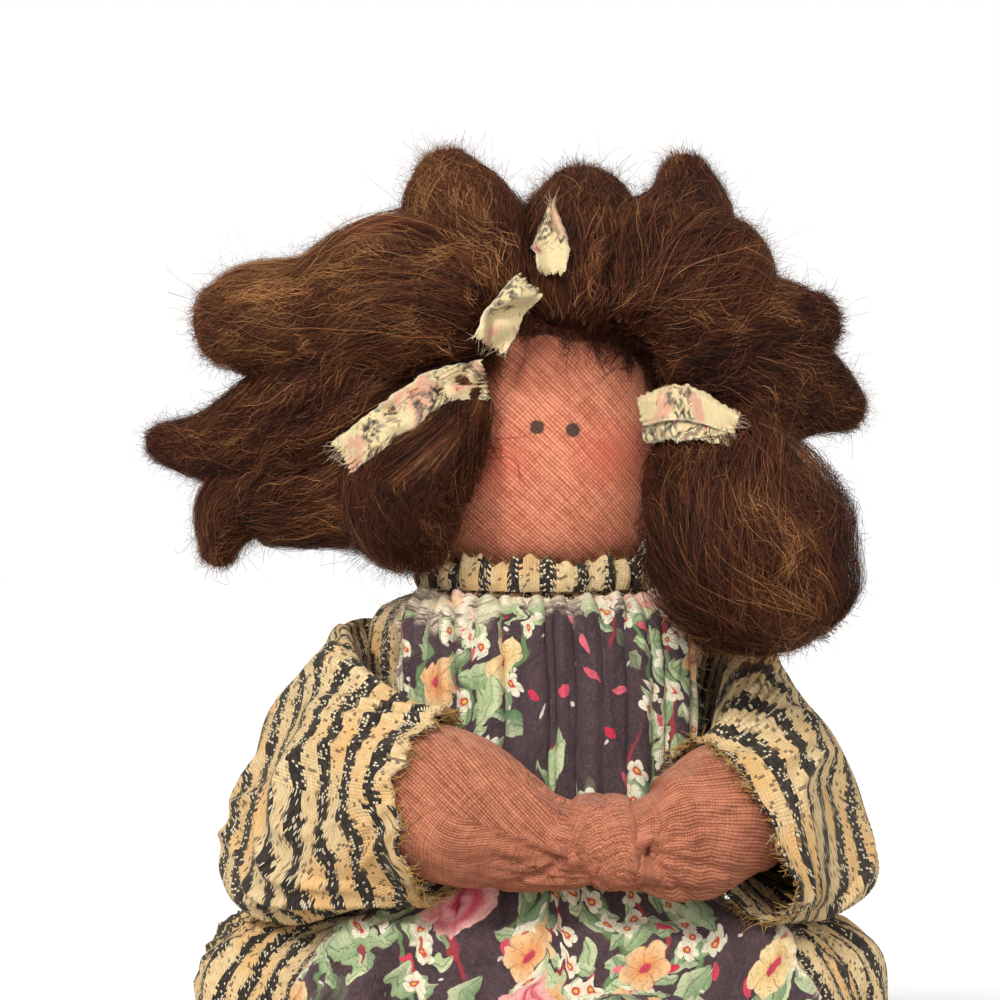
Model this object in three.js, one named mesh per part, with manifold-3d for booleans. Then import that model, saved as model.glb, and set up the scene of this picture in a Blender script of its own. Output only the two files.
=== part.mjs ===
// Rag doll, sitting up: stuffed muslin body, bunches of roving hair tied with torn strips, a striped
// dress with full sleeves, a gathered apron, and the two arms knotted together in front.
// Millimetres, +Z up. The doll faces -Y. It is laid out from the middle of the flat seat under the body,
// and at the end the origin goes to the floor under the middle of the whole doll.
import * as THREE from 'three';
import { mergeVertices } from 'three/addons/utils/BufferGeometryUtils.js';
import Module from 'manifold-3d';

const wasm = await Module();
wasm.setup();

// Cloth and clearances
const gap = 0.3;
const cloth = 1.0;
const skin = 0.9;
const strip = 1.4;

// Body
const torsoWidth = 60;
const torsoDepth = 34;
const torsoHeight = 106;
const neckDiameter = 22;
const neckPivotRise = 6;
const headWidth = 46;
const headDepth = 38;
const headHeight = 64;
const chinRise = 8.5;
const headShift = 1;

// Legs
const legDiameter = 25;
const ankleDiameter = 19;
const legLength = 138;
const legSpacing = 31;
const footHeight = 37;
const footThickness = 21;
const pressedFlat = 0.5;

// Arms
const shoulderHeight = 88;
const shoulderDiameter = 24;
const armHeight = 30;
const armDepth = 21;
const wristHeight = 17;
const wristDepth = 14;
const knotHeight = 63;
const knotShift = 13.5;
const knotWidth = 19;
const knotTall = 20;
const knotDeep = 17;
const knotBand = 8;
const knotLean = 14;

// Dress, collar and apron
const dressWidth = 68;
const dressDepth = 44;
const necklineHeight = 112.5;
const skirtHeight = 45;
const skirtWidth = 144;
const skirtBack = 52;
const skirtBelly = 40;
const skirtFront = 134;
const skirtBrim = 6;
const lapWidth = 60;
const foldDepth = 4;
const collarHeight = 6;
const collarFlare = 3.2;
const collarRuffle = 1.5;
const collarThickness = 1.6;
const pleatDepth = 1.5;

// Sleeves
const sleeveTop = 106;
const sleeveBottom = 47;
const sleeveBulge = 27;
const cuffTall = 36;
const cuffDeep = 25.5;
const apronAllowance = 3.2;

// Hair
const hairWidth = 148;
const hairDepth = 92;
const hairHeight = 106;
const hairMiddle = 150;
const lockDiameter = 20;
const stripWidth = 9;

const muslin = { color: 0x8a4a35, roughness: 0.95, metalness: 0 };
const fill = { color: 0xe6dfcf, roughness: 1, metalness: 0 };
const stripes = { color: 0x8f7a55, roughness: 0.95, metalness: 0 };
const print = { color: 0x2e2430, roughness: 0.9, metalness: 0 };
const roving = { color: 0x3a2016, roughness: 0.85, metalness: 0 };
const scrap = { color: 0xd8c8a4, roughness: 0.95, metalness: 0 };

const doll = new THREE.Group();

function add(name, geometry, look) {
  geometry.computeVertexNormals();
  const mesh = new THREE.Mesh(geometry, new THREE.MeshStandardMaterial(look));
  mesh.name = name;
  doll.add(mesh);
  return mesh;
}

// Closed bodies from points and faces, turned so that their faces point out
function closedBody(points, faces) {
  const corners = points.flatMap((point) => [point.x, point.y, point.z]);
  const geometry = new THREE.BufferGeometry();
  geometry.setAttribute('position', new THREE.Float32BufferAttribute(corners, 3));
  let volume = 0;
  for (const [a, b, c] of faces) {
    volume += points[a].dot(new THREE.Vector3().crossVectors(points[b], points[c]));
  }
  const turned = volume < 0 ? faces.map(([a, b, c]) => [a, c, b]) : faces;
  geometry.setIndex(turned.flat());
  return geometry;
}

function loft(rings) {
  const sides = rings[0].length;
  const points = rings.flat();
  const faces = [];
  for (let ring = 0; ring < rings.length - 1; ring += 1) {
    for (let side = 0; side < sides; side += 1) {
      const low = ring * sides + side;
      const next = ring * sides + ((side + 1) % sides);
      faces.push([low, next, next + sides], [low, next + sides, low + sides]);
    }
  }
  for (const [ring, first] of [[0, true], [rings.length - 1, false]]) {
    const middle = new THREE.Vector3();
    rings[ring].forEach((point) => middle.addScaledVector(point, 1 / sides));
    points.push(middle);
    for (let side = 0; side < sides; side += 1) {
      const here = ring * sides + side;
      const next = ring * sides + ((side + 1) % sides);
      faces.push(first ? [points.length - 1, next, here] : [points.length - 1, here, next]);
    }
  }
  return closedBody(points, faces);
}

// A cloth sheet with two faces: pointAt(across, down, face) with face 0 inside and 1 outside
function sheet(columns, rows, joined, pointAt) {
  const across = joined ? columns : columns + 1;
  const points = [];
  for (const face of [0, 1]) {
    for (let row = 0; row <= rows; row += 1) {
      for (let column = 0; column < across; column += 1) {
        points.push(pointAt(column / columns, row / rows, face));
      }
    }
  }
  const at = (face, row, column) => (face * (rows + 1) + row) * across + (column % across);
  const faces = [];
  const quad = (a, b, c, d) => faces.push([a, b, c], [a, c, d]);
  for (let column = 0; column < columns; column += 1) {
    for (let row = 0; row < rows; row += 1) {
      quad(at(1, row, column), at(1, row, column + 1), at(1, row + 1, column + 1), at(1, row + 1, column));
      quad(at(0, row, column), at(0, row + 1, column), at(0, row + 1, column + 1), at(0, row, column + 1));
    }
    quad(at(0, 0, column), at(0, 0, column + 1), at(1, 0, column + 1), at(1, 0, column));
    quad(at(1, rows, column), at(1, rows, column + 1), at(0, rows, column + 1), at(0, rows, column));
  }
  for (let row = 0; row < rows && !joined; row += 1) {
    quad(at(1, row, 0), at(1, row + 1, 0), at(0, row + 1, 0), at(0, row, 0));
    quad(at(0, row, columns), at(0, row + 1, columns), at(1, row + 1, columns), at(1, row, columns));
  }
  return closedBody(points, faces);
}

// Joining and cutting
function solidOf(geometry) {
  const bare = geometry.clone();
  bare.deleteAttribute('normal');
  bare.deleteAttribute('uv');
  const merged = mergeVertices(bare);
  const vertProperties = merged.attributes.position.array;
  const triVerts = Uint32Array.from(merged.index.array);
  return new wasm.Manifold(new wasm.Mesh({ numProp: 3, vertProperties, triVerts }));
}

function geometryOf(solid) {
  const { vertProperties, triVerts } = solid.getMesh();
  const geometry = new THREE.BufferGeometry();
  geometry.setAttribute('position', new THREE.Float32BufferAttribute(vertProperties, 3));
  geometry.setIndex(Array.from(triVerts));
  return geometry;
}

function largest(solid) {
  return solid.decompose().reduce((best, piece) => (piece.volume() > best.volume() ? piece : best));
}

function cutBy(solid, cutters) {
  return largest(cutters.reduce((left, cutter) => left.subtract(cutter), solid));
}

// Round-cornered outline: an ellipse with fuller corners, angle measured from +X
const fullness = 2.4;
function outlineAt(angle, halfWidth, halfDepth, power = fullness) {
  const round = (value) => Math.sign(value) * Math.abs(value) ** (2 / power);
  return [halfWidth * round(Math.cos(angle)), halfDepth * round(Math.sin(angle))];
}

function ringOf(sides, pointAt) {
  return Array.from({ length: sides }, (unused, side) => pointAt((side / sides) * Math.PI * 2));
}

function blend(from, to, share) {
  return from + (to - from) * share;
}

function ease(low, high, value) {
  return THREE.MathUtils.smoothstep(value, Math.min(low, high), Math.max(low, high));
}

// A smooth line through rows of shares, read at a share of the way along
function smoothRows(rows, share) {
  const along = Math.min(Math.max(share, 0), 1) * (rows.length - 1);
  const row = Math.min(Math.floor(along), rows.length - 2);
  const t = along - row;
  const read = (index, column) => rows[Math.min(Math.max(index, 0), rows.length - 1)][column];
  return rows[0].map((unused, column) => {
    const before = read(row - 1, column);
    const from = read(row, column);
    const to = read(row + 1, column);
    const after = read(row + 2, column);
    const rise = (to - before) / 2;
    const end = (after - from) / 2;
    const bend = 3 * (to - from) - 2 * rise - end;
    const twist = 2 * (from - to) + rise + end;
    return from + t * (rise + t * (bend + t * twist));
  });
}

// Body: shares of height, half width and half depth, from the seat up
const torsoShares = [
  [0, 0.86, 0.8],
  [0.06, 0.98, 0.96],
  [0.22, 1, 1],
  [0.45, 0.94, 0.97],
  [0.68, 0.96, 0.93],
  [0.86, 1, 0.86],
  [0.95, 0.84, 0.76],
  [1, 0.5, 0.64],
];
const torsoSides = 18;
const torsoSteps = 8;

function torsoRing(share, inset) {
  const [height, width, depth] = smoothRows(torsoShares, share);
  return ringOf(torsoSides, (angle) => {
    const [x, y] = outlineAt(angle, (width * torsoWidth) / 2 - inset, (depth * torsoDepth) / 2 - inset);
    return new THREE.Vector3(x, y, inset + height * (torsoHeight - 2 * inset));
  });
}

function stuffedTorso(inset) {
  const rings = Array.from({ length: torsoSteps + 1 }, (unused, step) => torsoRing(step / torsoSteps, inset));
  return solidOf(loft(rings));
}

const headSides = 18;
const headSteps = 8;
const chinHeight = torsoHeight + chinRise;
const headBlunt = 0.72;
const chinBlunt = 0.35;
const jaw = { fromShare: 0.2, toShare: 0.6 };
const headFullness = 2.1;

function stuffedHead(inset) {
  const rings = [];
  for (let step = 0; step <= headSteps; step += 1) {
    const turn = (Math.PI * (step + 1)) / (headSteps + 2);
    const swell = Math.sin(turn) ** headBlunt;
    const up = (1 - Math.cos(turn) / Math.cos(Math.PI / (headSteps + 2))) / 2;
    const blunt = blend(chinBlunt, headBlunt, ease(jaw.fromShare, jaw.toShare, up));
    const height = chinHeight + inset + up * (headHeight - 2 * inset);
    rings.push(
      ringOf(headSides, (angle) => {
        const halfWidth = Math.sin(turn) ** blunt * (headWidth / 2 - inset);
        const [x, y] = outlineAt(angle, halfWidth, swell * (headDepth / 2 - inset), headFullness);
        return new THREE.Vector3(headShift + x, y, height);
      }),
    );
  }
  return solidOf(loft(rings));
}

// Front and back panels: what lies before or behind the side seam
function halfSpace(towards) {
  const reach = Math.max(torsoHeight, headHeight) * 4;
  const box = new THREE.BoxGeometry(reach, reach, reach);
  box.translate(0, towards * (reach / 2 + gap / 2), 0);
  return solidOf(box);
}
const beforeSeam = halfSpace(-1);
const behindSeam = halfSpace(1);

const neckRadius = neckDiameter / 2;
const nodHeight = torsoHeight + neckPivotRise;

function neckColumn(extra) {
  const profile = [new THREE.Vector2(0, torsoHeight + gap - extra)];
  const domeSteps = 5;
  profile.push(new THREE.Vector2(neckRadius + extra, torsoHeight + gap - extra));
  for (let step = 0; step <= domeSteps; step += 1) {
    const angle = (step / domeSteps) * (Math.PI / 2);
    const radius = step === domeSteps ? 0 : (neckRadius + extra) * Math.cos(angle);
    profile.push(new THREE.Vector2(radius, nodHeight + (neckRadius + extra) * Math.sin(angle)));
  }
  const lathe = new THREE.LatheGeometry(profile, 16);
  lathe.rotateX(Math.PI / 2);
  return lathe;
}

const neckSocket = solidOf(neckColumn(gap));
const torso = stuffedTorso(0);
const torsoHollow = stuffedTorso(skin);
add('torso_front', geometryOf(torso.subtract(torsoHollow).intersect(beforeSeam)), muslin);
add('torso_back', geometryOf(torso.subtract(torsoHollow).intersect(behindSeam)), muslin);
add('torso_stuffing', geometryOf(stuffedTorso(skin + gap)), fill);
add('neck', neckColumn(0), muslin);

const head = stuffedHead(0);
const headSkin = head.subtract(stuffedHead(skin));
add('head_front', geometryOf(cutBy(headSkin.intersect(beforeSeam), [neckSocket])), muslin);
add('head_back', geometryOf(cutBy(headSkin.intersect(behindSeam), [neckSocket])), muslin);
add('head_stuffing', geometryOf(cutBy(stuffedHead(skin + gap), [neckSocket])), fill);

// Legs: a round hip end that turns at the hip, a taper to the ankle and an upturned foot
const hipRadius = legDiameter / 2;
const hipHeight = hipRadius - pressedFlat;
const legX = legSpacing / 2;
const torsoFrontShare = (1 - (legX / (torsoWidth / 2)) ** fullness) ** (1 / fullness);
const hipTorsoShare = 0.975;
const hipY = -((torsoDepth / 2) * hipTorsoShare * torsoFrontShare + gap + hipRadius);
const hipSteps = 3;
const hipEndShare = 0.12;
const shinSteps = 6;
const legSides = 14;
const shinTaper = 1.4;
const toeShare = 0.76;

function legSolid(side) {
  const rings = [];
  const ring = (y, radius) => {
    rings.push(
      ringOf(legSides, (angle) => {
        const z = Math.max(radius - pressedFlat + radius * Math.sin(angle), 0);
        return new THREE.Vector3(side * legX + radius * Math.cos(angle), y, z);
      }),
    );
  };
  for (let step = 0; step < hipSteps; step += 1) {
    const turn = (blend(hipEndShare, 1, step / hipSteps) * Math.PI) / 2;
    const radius = hipRadius * Math.sin(turn);
    rings.push(
      ringOf(legSides, (angle) => {
        const z = Math.max(hipHeight + radius * Math.sin(angle), 0);
        const y = hipY + hipRadius * Math.cos(turn);
        return new THREE.Vector3(side * legX + radius * Math.cos(angle), y, z);
      }),
    );
  }
  for (let step = 0; step <= shinSteps; step += 1) {
    const share = step / shinSteps;
    const swell = blend(legDiameter, ankleDiameter, share ** shinTaper) / 2;
    ring(hipY - share * legLength, swell);
  }
  ring(hipY - legLength - footThickness / 4, (ankleDiameter / 2) * toeShare);
  const shin = solidOf(loft(rings));
  const foot = new THREE.SphereGeometry(1, 12, 8);
  foot.scale(ankleDiameter / 2, footThickness / 2, footHeight / 2);
  foot.translate(side * legX, hipY - legLength, footHeight / 2);
  return geometryOf(largest(shin.add(solidOf(foot))));
}
add('leg_left', legSolid(-1), muslin);
add('leg_right', legSolid(1), muslin);

// Dress: the inner face of the cloth, from the neckline down to the hem.
// Shares of height between the skirt's top and the neckline, of half width and of half depth.
const bodiceShares = [
  [1, 0.37, 0.58],
  [0.975, 0.66, 0.65],
  [0.945, 0.87, 0.72],
  [0.9, 0.98, 0.79],
  [0.8, 1.01, 0.86],
  [0.6, 1, 0.93],
  [0.34, 1, 1],
  [0, 1.09, 1.12],
];
const skirtTopWidth = (bodiceShares.at(-1)[1] * dressWidth) / 2;
const skirtTopDepth = (bodiceShares.at(-1)[2] * dressDepth) / 2;
const lapTop = legDiameter - pressedFlat + gap * 2;
const hemFullness = 2.1;
const skirtBell = { side: 5, front: 1.2 };
const bodiceRows = 7;
const bellRows = 5;
const lapRows = 4;
const dressRows = bodiceRows + bellRows + lapRows;

function lapHeight(x, y) {
  const side = ease(lapWidth / 2, lapWidth / 2 + legDiameter * 0.75, Math.abs(x));
  const sag = Math.exp(-((x / (legX / 2)) ** 2)) * legDiameter * 0.04;
  return (lapTop - sag) * (1 - side) * (1 - ease(-skirtTopDepth, 0, y));
}

// down runs from 0 at the neckline to 1 at the skirt's top, 2 at the foot of its bell and 3 at the hem
function dressBase(angle, down) {
  if (down <= 1) {
    const [height, width, depth] = smoothRows(bodiceShares, down);
    const [x, y] = outlineAt(angle, (width * dressWidth) / 2, (depth * dressDepth) / 2);
    return new THREE.Vector3(x, y, blend(skirtHeight, necklineHeight, height));
  }
  const front = Math.sin(angle) < 0;
  const turn = (Math.min(down - 1, 1) * Math.PI) / 2;
  const bell = blend(skirtBell.side, skirtBell.front, Math.max(-Math.sin(angle), 0));
  const out = Math.sin(turn) ** (2 / bell);
  const cone = skirtHeight * Math.max(Math.cos(turn), 0) ** (2 / bell);
  const [topX, topY] = outlineAt(angle, skirtTopWidth, skirtTopDepth);
  const bellyReach = front ? skirtBelly : skirtBack - skirtBrim;
  const [bellyX, bellyY] = outlineAt(angle, skirtWidth / 2 - skirtBrim, bellyReach);
  const [hemX, hemY] = outlineAt(angle, skirtWidth / 2, front ? skirtFront : skirtBack, hemFullness);
  const beyond = Math.max(down - 2, 0);
  const x = blend(blend(topX, bellyX, out), hemX, beyond);
  const y = blend(blend(topY, bellyY, out), hemY, beyond);
  const lap = lapHeight(x, y);
  const soft = legDiameter / 3;
  const settle = (soft / 2) * Math.min(down - 1, 1) * (1 - lap / lapTop);
  const height = (cone + lap + Math.sqrt((cone - lap) ** 2 + soft ** 2)) / 2 - settle;
  return new THREE.Vector3(x, y, Math.max(height, 0));
}

function rowDown(row) {
  if (row <= bodiceRows) {
    return row / bodiceRows;
  }
  const bell = (row - bodiceRows) / bellRows;
  return bell <= 1 ? 1 + bell : 2 + (row - bodiceRows - bellRows) / lapRows;
}

function dressNormal(angle, down) {
  const reach = 1 / lapRows;
  const alongAngle = dressBase(angle + reach, down).sub(dressBase(angle - reach, down));
  const from = dressBase(angle, Math.max(down - reach, 0));
  const alongDown = dressBase(angle, Math.min(down + reach, 3)).sub(from);
  return alongAngle.cross(alongDown).normalize().negate();
}

const foldCount = 9;
const foldSpan = { fromDown: 0.85, toDown: 1.6 };
function dressFold(angle, down) {
  const deep = ease(foldSpan.fromDown, foldSpan.toDown, down) * foldDepth;
  return (deep * (1 + Math.cos(foldCount * angle + Math.sin(angle * 2)))) / 2;
}

function dressPoint(angle, down, lift) {
  const point = dressBase(angle, down);
  point.addScaledVector(dressNormal(angle, down), dressFold(angle, down) + lift);
  point.z = Math.max(point.z, lift > 0 ? cloth / 4 : 0);
  return point;
}

function dressPanel(fromAngle, toAngle, columns, rows, extra = 0) {
  const panel = sheet(columns, rows, false, (across, down, face) => {
    return dressPoint(blend(fromAngle, toAngle, across), rowDown(down * dressRows), face * (cloth + extra));
  });
  return panel.translate(0, (Math.sign(fromAngle + toAngle) * gap) / 2, 0);
}

const armhole = new THREE.CylinderGeometry(1, 1, 1, 20);
armhole.rotateZ(Math.PI / 2);
armhole.scale(dressWidth + sleeveBulge, shoulderDiameter / 2 + gap * 3, shoulderDiameter / 2 + gap * 3);
armhole.translate(0, 0, shoulderHeight);
const armholes = solidOf(armhole);

const frontColumns = 24;
const backColumns = 20;
const frontPanel = (extra) => solidOf(dressPanel(-Math.PI, 0, frontColumns, dressRows, extra));
const dressFront = cutBy(frontPanel(0), [armholes]);
add('dress_front', geometryOf(dressFront), stripes);
add('dress_back', geometryOf(cutBy(solidOf(dressPanel(0, Math.PI, backColumns, dressRows)), [armholes])), stripes);

// Collar: a standing frill on the neckline
const collarDown = 0.15;
const collarRuffles = 15;
const collarColumns = collarRuffles * 4;
add(
  'collar_frill',
  sheet(collarColumns, 2, true, (across, down, face) => {
    const angle = across * Math.PI * 2;
    const foot = dressPoint(angle, collarDown, cloth + gap);
    const out = new THREE.Vector3(foot.x, foot.y, 0).normalize();
    const wave = Math.cos(collarRuffles * angle) * collarRuffle * (0.35 + 0.65 * (1 - down));
    const side = wave + (1 - down) * collarFlare + face * collarThickness;
    foot.addScaledVector(out, side - (1 - down) ** 2 * collarFlare);
    foot.z += (1 - down) * collarHeight + (face ? 0 : gap);
    return foot;
  }),
  stripes,
);

// Apron: gathered under the collar, over the front of the dress and on its lines
const apronStart = { column: 5.5, row: 2 };
const apronEnd = { column: 19.5, row: 14 };
const pleatsPerColumn = 0.5;
const subColumns = 2;
const apronColumns = (apronEnd.column - apronStart.column) * subColumns;
const apronSheet = solidOf(
  sheet(apronColumns, apronEnd.row - apronStart.row, false, (across, down, face) => {
    const column = blend(apronStart.column, apronEnd.column, across);
    const row = blend(apronStart.row, apronEnd.row, down);
    const pleat = (pleatDepth * (1 + Math.cos(column * pleatsPerColumn * Math.PI * 2))) / 2;
    const lift = cloth + gap * 2 + pleat + face * cloth;
    const onLine = (line) => dressPoint((line / frontColumns - 1) * Math.PI, rowDown(row), lift);
    const point = onLine(Math.floor(column)).lerp(onLine(Math.ceil(column)), 0.5);
    point.y -= gap / 2;
    return point;
  }),
);
const underApron = [frontPanel(gap), dressFront, dressFront.translate([0, -gap, gap])];
add('apron', geometryOf(cutBy(apronSheet, underApron)), print);

// Sleeves: a full sack round the side of the body, closed behind and open at the cuff.
// turn runs from the side of the body towards the front, in degrees.
const sleeveTurns = { back: -52, left: 66, right: 50 };
const overApron = { from: 18, to: 42 };
const sleeveShares = [
  [0.9, 0.24, 0.18],
  [0.95, 0.72, 0.72],
  [0.35, 0.96, 1],
  [0.35, 0.9, 1],
  [0.3, 0.7, 0.97],
];
const sleeveLean = 0.55;
const leftBulgeShare = 0.87;
const rightCuffShare = 0.85;
const cuffSlant = 7;
const sleeveSides = 14;
const sleeveSteps = 8;

function sleeveCentre(side, turnDegrees, share, inset) {
  const [, , deepShare] = smoothRows(sleeveShares, share);
  const bulge = sleeveBulge * (side < 0 ? leftBulgeShare : 1);
  const deep = blend((bulge * deepShare) / 2, cuffDeep / 2, ease(0.7, 1, share));
  const clear = cloth + gap * 2 + apronAllowance * ease(overApron.from, overApron.to, turnDegrees);
  return { deep: deep - inset, clear: clear + inset };
}

function sleevePoint(side, turnDegrees, share, around, inset) {
  const [heightShare, tallShare] = smoothRows(sleeveShares, share);
  const { deep, clear } = sleeveCentre(side, turnDegrees, share, inset);
  const half = (sleeveTop - sleeveBottom) / 2;
  const cuff = cuffTall * (side < 0 ? 1 : rightCuffShare);
  const tall = blend(half * tallShare, cuff / 2, ease(0.7, 1, share)) - inset;
  const middle = sleeveBottom + inset + tall + heightShare * Math.max(2 * half - 2 * (tall + inset), 0);
  const lean = sleeveLean * (1 - ease(0.5, 1, share));
  const out = clear + deep * (1 + Math.cos(around)) * (1 - lean * Math.sin(around));
  const turn = THREE.MathUtils.degToRad(turnDegrees + cuffSlant * ease(0.7, 1, share) * Math.sin(around));
  const [x, y] = outlineAt(turn, dressWidth / 2 + out, dressDepth / 2 + out);
  return new THREE.Vector3(side * x, -y, middle + tall * Math.sin(around));
}

function sleeveSack(side, inset, overrun) {
  const cuffTurn = side < 0 ? sleeveTurns.left : sleeveTurns.right;
  const turnOver = (length) => THREE.MathUtils.radToDeg(length / (dressWidth / 2));
  const rings = [];
  for (let step = 0; step <= sleeveSteps; step += 1) {
    const share = step / sleeveSteps;
    const turn = blend(sleeveTurns.back + turnOver(inset), cuffTurn, share);
    rings.push(ringOf(sleeveSides, (around) => sleevePoint(side, turn, share, around, inset)));
  }
  if (overrun > 0) {
    const turn = cuffTurn + turnOver(overrun);
    rings.push(ringOf(sleeveSides, (around) => sleevePoint(side, turn, 1, around, inset)));
  }
  return solidOf(loft(rings));
}

function sleeveCloth(side, extra) {
  const outside = sleeveSack(side, -extra, extra);
  return outside.subtract(sleeveSack(side, cloth + extra, knotWidth / 2)).subtract(armholes);
}

for (const [name, side] of [['sleeve_left', -1], ['sleeve_right', 1]]) {
  add(name, geometryOf(largest(sleeveCloth(side, 0))), stripes);
}

// Knot: the arm ends crossed and wrapped by one leaning band
const bellyFront = (bodiceShares.at(-2)[2] * dressDepth) / 2;
const apronFront = bellyFront + cloth * 2 + gap + pleatDepth + foldDepth / 2;
const knotY = -(apronFront + gap + knotDeep / 2);

function knotSolid(extra) {
  const core = new THREE.SphereGeometry(1, 12, 8);
  core.rotateX(Math.PI / 2);
  core.scale(knotWidth / 2 + extra, knotDeep / 2.2 + extra, knotTall / 2.5 + extra);
  const band = new THREE.TorusGeometry(1, knotBand / knotTall, 7, 16);
  band.rotateY(Math.PI / 2);
  const bandShare = 1 + knotBand / knotTall;
  const tall = (knotTall / 2 + extra) / bandShare;
  band.scale((knotBand / 2 + extra) / (knotBand / knotTall), (knotDeep / 2 + extra) / bandShare, tall);
  band.rotateY(THREE.MathUtils.degToRad(knotLean));
  const joined = solidOf(core).add(solidOf(band));
  return joined.translate([knotShift, knotY, knotHeight]);
}
add('hand_knot', geometryOf(knotSolid(0)), muslin);

// Arms: a short upper arm through the armhole, then a full forearm to the knot
const armSides = 12;
function sleeveMiddle(side, turnDegrees, share) {
  const near = sleevePoint(side, turnDegrees, share, Math.PI, 0);
  const far = sleevePoint(side, turnDegrees, share, 0, 0);
  return near.add(far).multiplyScalar(0.5);
}

function armSolid(side) {
  const start = (torsoWidth / 2) + gap;
  const cuffTurn = side < 0 ? sleeveTurns.left : sleeveTurns.right;
  const turnShare = (turn) => (turn - sleeveTurns.back) / (cuffTurn - sleeveTurns.back);
  const elbow = sleeveMiddle(side, 0, turnShare(0));
  const radius = shoulderDiameter / 2;
  const upper = [];
  const upperSteps = 3;
  for (let step = 0; step <= upperSteps; step += 1) {
    const share = step / upperSteps;
    const x = side * blend(start, Math.abs(elbow.x), share);
    const z = blend(shoulderHeight, elbow.z, share ** 2);
    const size = blend(radius, (armDepth / 2) * 0.9, share);
    upper.push(ringOf(armSides, (angle) => new THREE.Vector3(x, size * Math.cos(angle), z + size * Math.sin(angle))));
  }
  const points = [elbow];
  for (const part of [0.4, 0.75, 1]) {
    points.push(sleeveMiddle(side, cuffTurn * part, turnShare(cuffTurn * part)));
  }
  points.push(new THREE.Vector3(knotShift + side * knotWidth * 0.62, knotY, knotHeight));
  points.push(new THREE.Vector3(knotShift, knotY, knotHeight));
  const curve = new THREE.CatmullRomCurve3(points, false, 'centripetal');
  const steps = 9;
  const rings = [];
  for (let step = 0; step <= steps; step += 1) {
    const share = step / steps;
    const centre = curve.getPointAt(share);
    const along = curve.getTangentAt(share);
    const out = new THREE.Vector3().crossVectors(along, new THREE.Vector3(0, 0, 1)).normalize();
    const up = new THREE.Vector3().crossVectors(out, along).normalize();
    const full = Math.sin((Math.min(share * 5 + 0.35, 1) * Math.PI) / 2);
    const narrow = ease(0.62, 0.97, share);
    const halfTall = (blend(armHeight, wristHeight, narrow) / 2) * full * blend(0.8, 1, ease(0, 0.4, share));
    const halfDeep = (blend(armDepth, wristDepth, narrow) / 2) * full;
    rings.push(
      ringOf(armSides, (angle) => {
        const point = centre.clone().addScaledVector(out, halfDeep * Math.cos(angle));
        return point.addScaledVector(up, halfTall * Math.sin(angle));
      }),
    );
  }
  return cutBy(solidOf(loft(upper)).add(solidOf(loft(rings))), [knotSolid(gap), sleeveCloth(side, gap)]);
}
add('arm_left', geometryOf(armSolid(-1)), muslin);
add('arm_right', geometryOf(armSolid(1)), muslin);

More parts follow.
